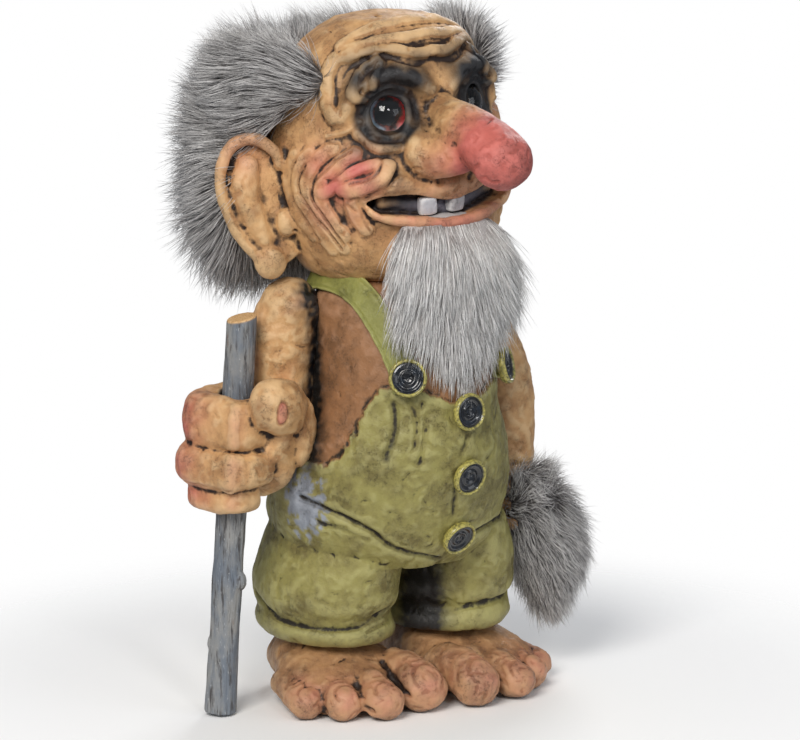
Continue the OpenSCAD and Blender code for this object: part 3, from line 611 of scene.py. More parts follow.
def new_group(name: str, inputs: dict[str, object], outputs: dict[str, str]) -> tuple[Graph, object, object]:
    """Starts a shader node group.

    Args:
        name: The group's name.
        inputs: Each input's name and its value, a number or a colour.
        outputs: Each output's name and socket type.

    Returns:
        The graph, the group's input sockets and its output node.
    """
    tree = bpy.data.node_groups.new(name, "ShaderNodeTree")
    for key, value in inputs.items():
        kind = "NodeSocketColor" if isinstance(value, tuple) else "NodeSocketFloat"
        tree.interface.new_socket(key, in_out="INPUT", socket_type=kind).default_value = value
    for key, kind in outputs.items():
        tree.interface.new_socket(key, in_out="OUTPUT", socket_type=kind)
    graph = Graph(tree)
    return graph, graph.add("NodeGroupInput").outputs, graph.add("NodeGroupOutput")


def hand_paint_group() -> NodeTree:
    """Hand painting over a cast: uneven coat, dark wash left in the creases, which also paints the shade
    there, and dry brush on the ridges, which also paints their highlights.
    """
    graph, given, result = new_group(
        "hand_paint",
        {"Paint": srgb(200, 160, 105), "Shade": srgb(150, 105, 60), "Wash": srgb(40, 26, 18),
         "Light": srgb(225, 200, 150), "Wash Amount": 1.0, "Mottle": 0.6, "Speckle": 0.5},
        {"Color": "NodeSocketColor", "Roughness": "NodeSocketFloat", "Height": "NodeSocketFloat"})
    hollow = graph.attribute("hollow")
    wide = graph.noise(17, 4, 0.6)
    brush = graph.noise(4.5, 4, 0.65, offset=0.31)
    grain = graph.noise(1.1, 3, 0.7, offset=0.77)
    # Uneven coat
    cloud = graph.maths("ADD", graph.between(wide, 0.36, 0.7), graph.between(brush, 0.36, 0.8, 0, 0.6))
    coat = graph.mixed(graph.maths("MULTIPLY", cloud, given["Mottle"], clamp=True), given["Paint"],
                       given["Shade"])
    # Dry brush on what stands proud, which also paints highlights on the ridges
    ridge = graph.between(hollow, 0.44, 0.16)
    coat = graph.mixed(graph.maths("MULTIPLY", ridge, 0.45), coat, given["Light"])
    # Wash in the creases, which also paints the shade there, broken up by the grain, and a thin film of it
    # everywhere
    broken = graph.maths("ADD", hollow, graph.between(brush, 0.3, 0.7, -0.10, 0.10))
    creased = graph.between(broken, 0.64, 1.0)
    film = graph.between(wide, 0.42, 0.75, 0.0, 0.26)
    wash = graph.maths("MAXIMUM", creased, film)
    wash = graph.maths("MULTIPLY", wash, given["Wash Amount"], clamp=True)
    pits = graph.between(grain, 0.66, 0.74)
    dots = graph.maths("MULTIPLY", pits, graph.between(brush, 0.45, 0.62))
    wash = graph.maths("ADD", wash, graph.maths("MULTIPLY", dots, given["Speckle"]), clamp=True)
    # Hair cracks where the brush noise crosses its middle
    off = graph.maths("ABSOLUTE", graph.maths("SUBTRACT", brush, 0.5))
    cracks = graph.maths("MULTIPLY", graph.between(off, 0.012, 0.0), graph.between(wide, 0.44, 0.6))
    wash = graph.maths("ADD", wash, graph.maths("MULTIPLY", cracks, 0.5), clamp=True)
    graph.feed(result.inputs["Color"], graph.mixed(wash, coat, given["Wash"]))
    graph.feed(result.inputs["Roughness"], graph.between(brush, 0.3, 0.7, 0.42, 0.62))
    height = graph.maths("ADD", graph.maths("MULTIPLY", brush, 0.8), graph.maths("MULTIPLY", grain, 0.5))
    height = graph.maths("SUBTRACT", height, graph.maths("MULTIPLY", cracks, 0.35))
    graph.feed(result.inputs["Height"], graph.maths("SUBTRACT", height, graph.maths("MULTIPLY", pits, 0.4)))
    return graph.tree


def new_material(name: str) -> tuple[Material, Graph, Node]:
    """Starts a material and returns it with its graph and its shader."""
    material = bpy.data.materials.new(name)
    material.use_nodes = True
    graph = Graph(material.node_tree)
    return material, graph, material.node_tree.nodes["Principled BSDF"]


def raised(graph: Graph, shader: Node, height: object, strength: float, distance: float) -> None:
    """Adds relief to a shader.

    Args:
        graph: The material's graph.
        shader: The shader whose normal is bent.
        height: The socket that gives the relief.
        strength: Strength of the relief.
        distance: Depth of the relief in millimetres.
    """
    bump = graph.add("ShaderNodeBump", {"Height": height, "Strength": strength, "Distance": distance * MM})
    graph.feed(shader.inputs["Normal"], bump.outputs[0])


@dataclass(frozen=True)
class Paint:
    """A hand-painted latex finish.

    Attributes:
        name: Name of the material.
        base: The main coat.
        shade: A darker tone of the coat.
        light: The dry-brushed tone, which also paints the highlights on the ridges.
        wash: The dark wash in the creases, which also paints the shade there.
        wash_and_shade_amount: Strength of the wash and its painted shade.
        mottle: How uneven the coat is.
        speckle: Strength of the dark dots.
        tints: Painted attributes, each with its colour and its strength.
    """

    name: str
    base: Colour
    shade: Colour
    light: Colour
    wash: Colour
    wash_and_shade_amount: float = 1.0
    mottle: float = 0.55
    speckle: float = 0.5
    tints: tuple[tuple[str, Colour, float], ...] = ()

    def material(self) -> Material:
        """Builds the material."""
        material, graph, shader = new_material(self.name)
        coat: object = self.base
        shade: object = self.shade
        light: object = self.light
        for key, colour, strength in self.tints:
            share = graph.maths("MULTIPLY", graph.attribute(key), strength, clamp=True)
            coat = graph.mixed(share, coat, colour)
            shade = graph.mixed(share, shade, tuple(c * 0.62 for c in colour[:3]) + (1.0,))
            light = graph.mixed(share, light, tuple(min(1, c * 1.3 + 0.06) for c in colour[:3]) + (1.0,))
        group = graph.add("ShaderNodeGroup", node_tree=bpy.data.node_groups["hand_paint"])
        values = {"Paint": coat, "Shade": shade, "Light": light, "Wash": self.wash,
                  "Wash Amount": self.wash_and_shade_amount, "Mottle": self.mottle, "Speckle": self.speckle}
        graph.fill(group, values)
        graph.fill(shader, {"Base Color": group.outputs["Color"], "Roughness": group.outputs["Roughness"],
                            "Specular IOR Level": 0.42})
        raised(graph, shader, group.outputs["Height"], 0.7, 1.0)
        return material


# Dark brown of the wash, which also paints the shade in the creases, and of the painted shade on the feet
BROWN_WASH_AND_SHADE = srgb(38, 24, 17)
PINK = srgb(196, 98, 90)
# Near black of the dark paint round the eyes and of the painted shade in the face's creases and recesses
DARK_PAINT_AND_SHADE = srgb(17, 16, 18)
SKIN = Paint("latex_skin_paint", srgb(214, 169, 116), srgb(164, 114, 72), srgb(234, 202, 154), BROWN_WASH_AND_SHADE,
             tints=(("blush", PINK, 0.95), ("soot", DARK_PAINT_AND_SHADE, 1.0), ("gum", srgb(112, 110, 122), 1.0)))
# The feet's dark tint is painted shade between the toes, under the cuffs and at the ground, with dark rims
# round the nails
FEET = Paint("feet_paint", srgb(176, 134, 92), srgb(124, 86, 56), srgb(208, 170, 126), BROWN_WASH_AND_SHADE,
             tints=(("blush", srgb(188, 108, 96), 0.5), ("soot", BROWN_WASH_AND_SHADE, 1.0)))
# The cloth's near black tint is painted shade in its creases, between the legs and under the arms, with a
# dark band along the edge of the dungarees
CLOTH = Paint("dungaree_paint", srgb(150, 143, 82), srgb(112, 100, 56), srgb(182, 176, 118), srgb(34, 28, 18),
              mottle=0.6, speckle=1.0,
              tints=(("skin", srgb(156, 112, 76), 1.0), ("worn", srgb(150, 156, 166), 1.0),
                     ("soot", srgb(14, 12, 11), 1.0)))
BRACE = Paint("brace_paint", srgb(142, 142, 74), srgb(100, 100, 48), srgb(180, 178, 112), srgb(34, 30, 20))
TAIL = Paint("tail_paint", srgb(170, 122, 80), srgb(120, 80, 50), srgb(205, 165, 120), BROWN_WASH_AND_SHADE)
TOOTH = Paint("tooth_paint", srgb(192, 193, 200), srgb(170, 166, 158), srgb(240, 240, 238), srgb(90, 80, 66),
              wash_and_shade_amount=0.6, mottle=0.4, speckle=0.2)


@dataclass(frozen=True)
class Fur:
    """A long-pile fur finish: darker at the root, which also paints the shade deep in the pile, lighter at
    the tip, each hair a little different.
    """

    name: str
    root: Colour
    middle: Colour
    tip: Colour

    def material(self) -> Material:
        """Builds the material from the hairs' along and tone attributes."""
        material, graph, shader = new_material(self.name)
        along, tone = graph.attribute("along"), graph.attribute("tone")
        # Dark roots, which also paint the shade deep in the pile, and light tips
        low = graph.mixed(graph.between(along, 0.0, 0.5), self.root, self.middle)
        hair = graph.mixed(graph.between(along, 0.35, 1.0), low, self.tip)
        hair = graph.mixed(graph.between(tone, 0.45, 1.0, 0, 0.8), hair, self.tip)
        hair = graph.mixed(graph.between(tone, 0.36, 0.0, 0, 0.6), hair, self.root)
        graph.fill(shader, {"Base Color": hair, "Roughness": graph.between(tone, 0, 1, 0.36, 0.5),
                            "Specular IOR Level": 0.35})
        return material


@dataclass(frozen=True)
class Bark:
    """Bark of a thin twig: grey-blue with fine lengthwise cracks and brown scars, painted shade in its
    hollows, and its pale cut wood.
    """

    name: str = "twig_bark"

    def material(self) -> Material:
        """Builds the material. The cut attribute marks bare wood."""
        material, graph, shader = new_material(self.name)
        fibres = graph.noise(2.2, 5, 0.65, stretch=(1, 1, 0.13))
        blots = graph.noise(9, 4, 0.6, stretch=(1, 1, 0.4), offset=0.4)
        fine = graph.noise(0.8, 3, 0.6, stretch=(1, 1, 0.3), offset=0.8)
        tone = graph.mixed(graph.between(blots, 0.35, 0.65), srgb(104, 112, 122), srgb(140, 140, 138))
        tone = graph.mixed(graph.between(fibres, 0.5, 0.66), tone, srgb(70, 68, 68))
        tone = graph.mixed(graph.between(fine, 0.6, 0.72, 0, 0.6), tone, srgb(176, 180, 182))
        tone = graph.mixed(graph.between(blots, 0.66, 0.76, 0, 0.8), tone, srgb(112, 78, 52))
        # Painted shade in the hollows of the bark
        hollow = graph.attribute("hollow")
        tone = graph.mixed(graph.between(hollow, 0.55, 0.85, 0, 0.8), tone, srgb(40, 34, 32))
        rings = graph.mixed(graph.between(fine, 0.4, 0.7), srgb(222, 184, 132), srgb(176, 128, 78))
        rings = graph.mixed(graph.attribute("heart"), rings, srgb(96, 54, 30))
        graph.feed(shader.inputs["Base Color"], graph.mixed(graph.attribute("cut"), tone, rings))
        graph.feed(shader.inputs["Roughness"], graph.between(fine, 0.3, 0.7, 0.6, 0.8))
        relief = graph.maths("ADD", graph.maths("MULTIPLY", fibres, -1.0), graph.maths("MULTIPLY", fine, 0.4))
        raised(graph, shader, relief, 0.6, 0.7)
        return material


@dataclass(frozen=True)
class Gloss:
    """Glossy enamel with faint brush marks, and an olive rim where the rim attribute is 1."""

    name: str
    base: Colour
    second: Colour
    rough: float = 0.18
    coat: float = 0.6

    def material(self) -> Material:
        """Builds the material."""
        material, graph, shader = new_material(self.name)
        swirl = graph.noise(3.0, 4, 0.6)
        colour = graph.mixed(graph.between(swirl, 0.4, 0.72), self.base, self.second)
        worn = graph.noise(1.4, 3, 0.6, offset=0.5)
        olive = graph.mixed(graph.between(worn, 0.4, 0.65), srgb(176, 166, 84), srgb(110, 104, 52))
        rim = graph.maths("MULTIPLY", graph.attribute("rim"), graph.between(worn, 0.74, 0.66), clamp=True)
        graph.feed(shader.inputs["Base Color"], graph.mixed(rim, colour, olive))
        uneven = graph.between(worn, 0.3, 0.7, self.rough, self.rough + 0.12)
        rough = graph.maths("ADD", graph.maths("MULTIPLY", rim, 0.35), uneven)
        graph.fill(shader, {"Roughness": rough, "Coat Weight": self.coat, "Coat Roughness": 0.06})
        raised(graph, shader, swirl, 0.25, 0.4)
        return material


def plain_glass(name: str) -> Material:
    """Clear polished glass for the domes of the eyes."""
    material, graph, shader = new_material(name)
    graph.fill(shader, {"Base Color": (1, 1, 1, 1), "Roughness": 0.0, "IOR": 1.5, "Transmission Weight": 1.0})
    return material


def foam_fill(name: str) -> Material:
    """Builds pale open foam for the filling.

    Args:
        name: Name of the material.

    Returns:
        The material.
    """
    material, graph, shader = new_material(name)
    graph.fill(shader, {"Base Color": srgb(226, 214, 176), "Roughness": 0.95})
    return material


# Pieces


def fit(thing: Object, material: Material, nodes: Sequence[str] = (),
        body: str = BODY) -> Object:
    """Gives a piece its finish and its place in the frame.

    Args:
        thing: The piece.
        material: Its finish.
        nodes: The CAD nodes that it stands for.
        body: The body that it moves with.

    Returns:
        The piece.
    """
    thing.data.materials.append(material)
    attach(thing, body)
    if nodes:
        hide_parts(*nodes)
    log.info("%s: %d faces", thing.name, len(thing.data.polygons))
    return thing


def both_ways(places: Places) -> list[list[float]]:
    """Carries a run that ends at the middle of the face on to the other side."""
    first = [[-turn, z] for turn, z in places]
    return first + [[turn, z] for turn, z in reversed(places) if turn > 0]


# Head: places are [turn from the middle of the face in degrees, height in the head's frame]

# Broad masses: height, half width, places, and whether there is one on each side
FACE_MASSES = (
    (7.0, 5.5, [(7, 30), (16, 37), (30, 40), (46, 34), (54, 21)], True),
    (8.0, 10.0, [(34, -5), (48, -12)], True),
    (2.5, 4.0, [(13, 20), (22, 8), (36, 7), (46, 16)], True),
    (5.5, 7.0, [(-34, -12), (-18, -14), (0, -15.5), (18, -14), (34, -12)], False),
    (4.5, 4.0, [(-41, -26), (-20, -33), (0, -35), (20, -33), (41, -26)], False),
    (6.0, 9.0, [(-8, -56), (8, -56)], False))

# Folds of skin over the forehead: half width, height, places up to the middle
FOREHEAD_FOLDS = (
    (3.9, 2.1, [(63, 52.5), (41, 60), (20, 61.5), (0, 62)]),
    (3.3, 2.4, [(57, 51), (40, 54), (19, 55), (0, 56)]),
    (3.6, 2.8, [(46, 49), (27, 50), (12, 47.5), (0, 48)]))

# Folds on each side: half width, height, places
SIDE_FOLDS = (
    # Brows that curl round the outer corner of the eye
    (4.4, 2.4, [(40, 50), (52, 49), (63, 47), (65, 39), (61, 29), (57, 20)]),
    (3.1, 2.6, [(36, 46.7), (43, 43), (47, 38), (46.5, 31), (41, 28.7)]),
    (2.3, 2.2, [(34, 45), (37, 40), (37, 34.5)]),
    # Lids and the fold under the eye
    (1.7, 1.4, [(42, 22), (37, 30.5), (29, 34), (19, 30.5)]),
    (1.7, 1.0, [(42, 17.8), (50, 13.4), (59, 11.5)]),
    (3.0, 1.7, [(14, 8), (24, 4.5), (36, 6), (44, 12)]),
    # Cheek
    (4.6, 2.8, [(31, -3), (36, -8), (44, -12), (54, -13.5)]),
    (4.0, 2.8, [(36, -1.5), (44, -3.5), (51, -6.5), (58, -12), (64, -15)]),
    (4.4, 1.9, [(45, 3), (53, -1.5), (60, -7), (65, -13), (66, -20), (63, -28), (59, -36)]),
    (4.1, 1.5, [(56, 6), (66, 0), (73, -9), (74, -16), (71, -24), (66, -33), (61, -42)]),
    (4.1, 1.3, [(70, 3), (78, -5), (80.5, -14), (78, -24), (73, -33), (68, -43)]),
    (3.8, 1.0, [(80, 2), (86, -8), (87, -18), (83, -28), (78, -37)]),
    (4.2, 1.6, [(46, -12), (50, -18), (49, -26), (46, -33)]))

# Round edges on each side: radius, how far out they lie, places
SIDE_EDGES = (
    (1.8, 0.2, [(38.5, 20), (37, 27), (29, 31), (20.5, 28), (17.5, 20.5), (20, 12.5), (28, 9.4), (36, 12.5),
                (38.5, 20)]),
    (2.6, -0.2, [(41, -24), (35, -27.6), (22, -30.8), (8, -32.6), (-2, -33)]))

# Creases on each side: width, depth, strength of the painted shade along them, places
SIDE_CREASES = (
    (0.8, 1.7, 0.5, [(63, 50), (54, 53), (41, 56.8), (26, 58), (10, 58.6), (-2, 59)]),
    (0.8, 1.7, 0.5, [(57, 49), (40, 51), (19, 52), (10, 51.3), (-2, 52.5)]),
    (1.3, 2.0, 1.0, [(38, 49.4), (27, 47), (19, 44.8), (12, 43.2), (2, 44), (-2, 44.4)]),
    (1.3, 2.2, 1.1, [(38, 49), (46, 46), (53, 42.5), (55, 36), (53, 29), (51, 22)]),
    (1.0, 1.9, 1.1, [(35, 44), (38, 42), (41.5, 36.6), (42, 32)]),
    (0.7, 1.6, 0.7, [(60, -10), (54, -6), (47, -1.4), (44, 0.3)]),
    (0.9, 2.0, 1.0, [(48, -9.8), (41, -7.7), (36, -5), (33, -1)]),
    (0.7, 1.6, 0.7, [(47, 4.5), (54, 1), (60, -4), (67, -9), (70, -14.6), (70, -19.5), (67, -25), (64, -31),
                     (61, -37), (60, -41)]),
    (0.7, 1.6, 0.7, [(72, -2), (77, -9), (78, -15), (74, -22), (71, -28), (66, -34), (62, -43)]),
    (0.7, 1.4, 0.6, [(78, -0.4), (81, -3.6), (84, -13), (83, -21), (78, -29), (76, -35), (74, -39)]),
    (1.7, 2.2, 1.0, [(59, -20), (56, -23), (56, -29)]),
    (1.2, 2.0, 1.0, [(30, 1), (27, -3), (29, -8), (34, -14), (42, -18)]),
    (0.8, 1.2, 0.6, [(95, -31), (87, -37), (82, -45), (71, -51), (60, -55)]),
    (0.7, 0.9, 0.5, [(43, 12), (52, 9), (60, 9)]),
    (0.6, 0.8, 0.5, [(45, -16), (52, -20), (53, -28)]),
    (0.6, 0.8, 0.5, [(44, -20), (46, -27), (43, -36)]))

# Patches of paint on each side: turn, height, reach, strength
BLUSH_PATCHES = (
    (44, -4, 11, 1.0), (56, -12, 11, 0.95), (40, -12, 8, 0.7), (64, -2, 10, 0.6), (66, -24, 10, 0.45),
    (50, -26, 9, 0.35), (24, -30, 6, 0.6), (38, -26, 5, 0.4))
# Dark paint round the eyes, and painted shade under the brows, below the eyes and beside the nose
DARK_PAINT_AND_SHADE_PATCHES = (
    (27, 36, 13, 1.25), (17, 36, 12, 1.15), (36, 42, 12, 1.1), (15, 14, 8, 1.05), (18, 5, 6, 0.9),
    (46, 38, 10, 1.0), (50, 32, 7, 0.7), (42, 6, 7, 0.6), (12, 42, 9, 0.8), (30, 2, 6, 0.7), (50, 44, 8, 0.6),
    (28, -7, 5, 0.6))


@dataclass(frozen=True)
class HeadSizes:
    """Sizes of the head in millimetres and degrees."""

    width: float = 120
    depth: float = 104
    height: float = 134
    middle: tuple[float, float, float] = (0, -3, 277)
    roll: float = -3.5
    eye_turn: float = 28
    eye_height: float = 20.1
    eye_radius: float = 10.5
    eye_sink: float = 6.51
    ear_turn: float = 30


class Head:
    """The head: skull, folded face, nose, ears, open mouth and teeth."""

    def __init__(self, sizes: HeadSizes) -> None:
        """Works out the skull's stations."""
        self.sizes = sizes
        w, d, h = sizes.width, sizes.depth, sizes.height
        shares = [(-.06, -.49, .20, .22), (-.08, -.44, .36, .38), (-.09, -.34, .44, .46),
                  (-.06, -.19, .49, .495),
                  (-.03, -.03, .50, .50), (-.01, .14, .47, .475), (-.04, .28, .42, .43),
                  (-.07, .40, .33, .35),
                  (-.07, .475, .19, .21)]
        self.stations = [[0, d * y, h * z, w * rx, d * ry] for y, z, rx, ry in shares]
        self.run = smooth_run(self.stations, 8)

    def relief(self, turns: Array, heights: Array) -> Array:
        """How far the broad masses of the face stand out at places on it."""
        scale = self.sizes.width / 2 * math.pi / 180
        flat = np.stack([np.ravel(turns) * scale, np.ravel(heights)], axis=1)
        total = np.zeros(len(flat))
        for tall, wide, places, paired in FACE_MASSES:
            for side in ((-1, 1) if paired else (1,)):
                run = [[turn * side * scale, z] for turn, z in places]
                total += tall * trace(flat, run, wide)
        return total

    def spot(self, turn: float, z: float, out: float = 0.0, bare: bool = False) -> Array:
        """A place on the face.

        Args:
            turn: Angle from the middle of the face, growing towards his left.
            z: Height in the head's frame.
            out: Distance out from the face.
            bare: True to leave the broad masses out.

        Returns:
            The place in the head's frame.
        """
        if not bare:
            out += float(self.relief(np.array([turn]), np.array([z]))[0])
        return on_section(self.run, turn, z, out)

    def outside(self, p: Array) -> Array:
        """How far out points lie: 0 on the head's axis and 1 on the bare skull."""
        x, y, rx, ry = section_at(self.run, p[:, 2])
        return np.sqrt(((p[:, 0] - x) / rx) ** 2 + ((p[:, 1] - y) / ry) ** 2)

    def placed(self, points: Array) -> Array:
        """Points of the head's frame, tilted and lifted to their place on the figure."""
        return points @ turn_matrix(self.sizes.roll, 1).T + self.sizes.middle

    def line(self, places: Places, side: int = 1, out: float = 0.0) -> list[Array]:
        """Places on the face, mirrored for his right side."""
        return [self.spot(turn * side, z, out) for turn, z in places]

    def skull(self) -> Shell:
        """The skull with the broad masses of the face."""
        shell = stack(self.stations, sides=120, steps=8)
        p = shell.points
        offset = p[:, :2] - np.stack(section_at(self.run, p[:, 2])[:2], axis=1)
        turns = np.degrees(np.arctan2(offset[:, 0], -offset[:, 1]))
        out = self.relief(turns, p[:, 2])
        direction = offset / np.maximum(np.linalg.norm(offset, axis=1), 1)[:, None]
        p[:, :2] += direction * out[:, None]
        return shell

    def nose(self) -> list[Shell]:
        """The long nose and its two wings."""
        bulb = limb([[0, -42, 25, 6.5, 8], [0, -56, 17, 9.5, 10.5], [0, -71, 12, 13, 12],
                     [0, -86, 5.5, 14.6, 13],
                     [0, -96.5, -1, 14.8, 14.2]], sides=32, steps=6)
        wings = [limb([[side * 9, -46, 13, 8, 9], [side * 16.5, -53.5, 2, 9.5, 10.5],
                       [side * 13, -63, -2, 8.5, 9],
                       [side * 7, -74, 1, 9, 9]], sides=24) for side in (-1, 1)]
        flanks = [limb([[side * 7, -47, 12, 6.5, 7], [side * 10, -58, 5.5, 7.5, 8],
                        [side * 8, -72, 2, 8.5, 9]])
                  for side in (-1, 1)]
        return [bulb, *wings, *flanks]

    def ear(self, side: int) -> list[Shell]:
        """One ear: a thin plate, its curled rim, the broad inner fold and the lobe."""
        def place(shells: list[Shell]) -> list[Shell]:
            """Moves shells from the ear's frame to the head's."""
            spot = self.spot(side * 92, -self.sizes.height * 0.17, -3, bare=True)
            return [s.turned(side * self.sizes.ear_turn).moved(spot) for s in shells]

        def ridge(places: Places, radius: float) -> Shell:
            """A round ridge through places of outward distance, depth and height."""
            return tube([[side * u, y, v] for u, y, v in places], radius, sides=14)

        plate = limb([[side * 3, 2, -25, 7, 3], [side * 10, 2, -10, 11, 3.2], [side * 16, 2.5, 8, 14, 3.2],
                      [side * 19, 3, 24, 11, 3], [side * 18, 3.5, 31, 6, 2.6]], sides=24)
        rim = ridge([(4, -1, 20), (8, -2.5, 28), (17, -2.5, 33.5), (27, -2, 31), (33, -1.5, 20),
                     (33.5, -1, 7),
                     (29, 0, -7), (22, 0.5, -19), (14, 0, -28)], 3.2)
        inner = limb([[side * 20, 0, 21, 5.5, 4.5], [side * 22.5, -0.5, 9, 7, 5], [side * 19, 0, -5, 6.5, 5],
                      [side * 14, 0.5, -16, 5, 4.5]], sides=24)
        lobe = blob([side * 12, 0, -27], [8.2, 5.5, 9])
        tragus = blob([side * 3, -2, -8], [5, 4, 7])
        return place([plate, rim, inner, lobe, tragus])

    def build(self) -> Skin:
        """Models the head in its own frame and then puts it in its place."""
        s = self.sizes
        shells = [self.skull(), *self.nose()]
        for side in (-1, 1):
            shells += self.ear(side)
            for radius, out, places in SIDE_EDGES:
                shells.append(tube(self.line(places, side, out), radius, sides=14, steps=6))
        mouth = [(-42, -20.3, 1.5), (-36, -21.4, 4.8), (-26, -22.2, 5.4), (-17, -23.8, 5), (-7, -26, 4.3),
                 (0, -26.6, 4.0), (7, -26, 4.3), (17, -23.8, 5), (26, -22.2, 5.4), (36, -21.4, 4.8),
                 (42, -20.3, 1.5)]
        cuts = [limb([[*self.spot(turn, z, -1.5), tall, 9.5] for turn, z, tall in mouth], wide=(0, 0, 1),
                     sides=24)]
        for side in (-1, 1):
            eye = self.spot(side * s.eye_turn, s.eye_height, -s.eye_sink, bare=True)
            cuts.append(blob(eye, [s.eye_radius + 0.25] * 3))
            cuts.append(blob([side * 9.5, -65, -12.5], [4, 6, 4]))
        gum = tube([self.spot(turn, z, -7.5) for turn, z, _ in mouth[1:-1]], 3.6)
        skin = Skin(shells, 0.85, cuts, [gum], rounds=2)
        self._carve(skin)
        self._paint(skin)
        return skin

    def _carve(self, skin: Skin) -> None:
        """Cuts the creases and roughens the surface."""
        nose = near(skin.points, [0, -82, 8], [22, 34, 22])
        for side in (-1, 1):
            skin.soften(near(skin.points, [side * 13, -62, 4], [10, 16, 16]), 12)
            skin.soften(near(skin.points, self.spot(side * 92, -24, 12, bare=True), [24, 16, 34]), 4)
        bands = [([self.spot(*p) for p in both_ways(places)], half, tall) for half, tall,
                 places in FOREHEAD_FOLDS]
        bands += [(self.line(places, side), half, tall) for side in (-1, 1) for half, tall,
                  places in SIDE_FOLDS]
        skin.swell(bands)
        skin.soften(np.ones(len(skin.points)), 1)
        skin.knead(3.1, 0.5)
        marks = []
        for side in (-1, 1):
            for wide, deep, _, places in SIDE_CREASES:
                marks.append((self.line(places, side, 1.6), wide, deep))
        skin.carve(marks)
        skin.scratch(11, 150, 0.25 + nose * 2.5, depth=0.7)
        skin.scratch(12, 260, depth=0.4)

    def _patched(self, p: Array, side: int, paint: Array, patches: Places) -> Array:
        """Lays soft patches of paint over what is there.

        Args:
            p: The skin's points.
            side: 1 for his left side, -1 for his right side.
            paint: Strength of the paint at each point.
            patches: Turn, height, reach and strength of each patch.

        Returns:
            The new strength at each point.
        """
        for turn, z, reach, strength in patches:
            paint = np.maximum(paint, strength * near(p, self.spot(side * turn, z), reach))
        return paint

    def _paint(self, skin: Skin) -> None:
        """Paints blush, gum, dark paint round the eyes and painted shade on the skin."""
        p = skin.points
        s = self.sizes
        blotch = skin.lumps(7, 4.4) * 0.25
        blush = 1.1 * ease(-p[:, 1] - 0.35 * p[:, 2] + 9 * blotch, 56, 88)
        soot = np.zeros(len(p))
        for side in (-1, 1):
            blush = self._patched(p, side, blush, BLUSH_PATCHES)
            rim = self.spot(side * 92, 0, 20, bare=True)
            blush = np.maximum(blush, 0.4 * near(p, rim + [0, 0, 6], [14, 16, 14]))
            # Dark paint round the eyes and up into the brows, with painted shade under the brows and down
            # beside the nose
            eye = self.spot(side * s.eye_turn, s.eye_height, 0)
            d = np.linalg.norm(p - eye, axis=1)
            soot = np.maximum(soot, 1 - ease(d + 8 * blotch, 14.5, 20))
            soot = self._patched(p, side, soot, DARK_PAINT_AND_SHADE_PATCHES)
            # Painted shade along the creases
            for wide, _, dark, places in SIDE_CREASES:
                line = trace(p, self.line(places, side, 1.0), wide * 0.95)
                soot = np.maximum(soot, np.clip(dark * (1 + blotch), 0, 1) * line)
        # Painted shade in the recesses that lie inside the skull's section, such as the mouth and the
        # nostrils
        depth = (1 - self.outside(p)) * s.depth / 2
        inside = ease(depth, 0.6, 3.2) * (np.abs(p[:, 2]) < s.height * 0.42)
        skin.paint["blush"] = np.clip(blush + 0.3 * blotch * (blush > 0.2), 0, 1) * (1 - inside)
        skin.paint["soot"] = np.clip(np.maximum(soot * (1 + blotch), inside), 0, 1)
        mouth_gum = near(p, self.spot(0, -25, -6), [22, 9, 4.5])
        skin.paint["gum"] = np.clip(1.2 * mouth_gum * (depth > 1), 0, 1)
        skin.points = self.placed(p)

    def tooth(self, turn: float) -> Skin:
        """One blocky peg that hangs in the mouth."""
        top, low = self.spot(turn, -20.5, -4.0), self.spot(turn, -27.8, -3.2)
        a = math.radians(turn)
        wide = (math.cos(a), math.sin(a), 0)
        peg = limb([[*top, 4.3, 3.0], [*(top * 0.5 + low * 0.5), 4.7, 3.1], [*low, 4.5, 2.6]], wide, 24,
                   dome=0.35,
                   square=0.5)
        skin = Skin([peg], 0.45, rounds=2)
        skin.knead(turn, 0.3)
        skin.points = self.placed(skin.points)
        return skin


# Torso


@dataclass(frozen=True)
class TorsoSizes:
    """Sizes of the body in millimetres and degrees."""

    belly_width: float = 116
    belly_depth: float = 114
    chest_width: float = 88
    chest_depth: float = 102
    shoulder: float = 210
    waist: float = 112
    lean: float = 17
    cloth: float = 1.8
    bib_top: float = 165
    bib_width: float = 82
    leg_width: float = 62
    leg_depth: float = 76
    leg_spacing: float = 68
    hem: float = 33
    stance: float = -9


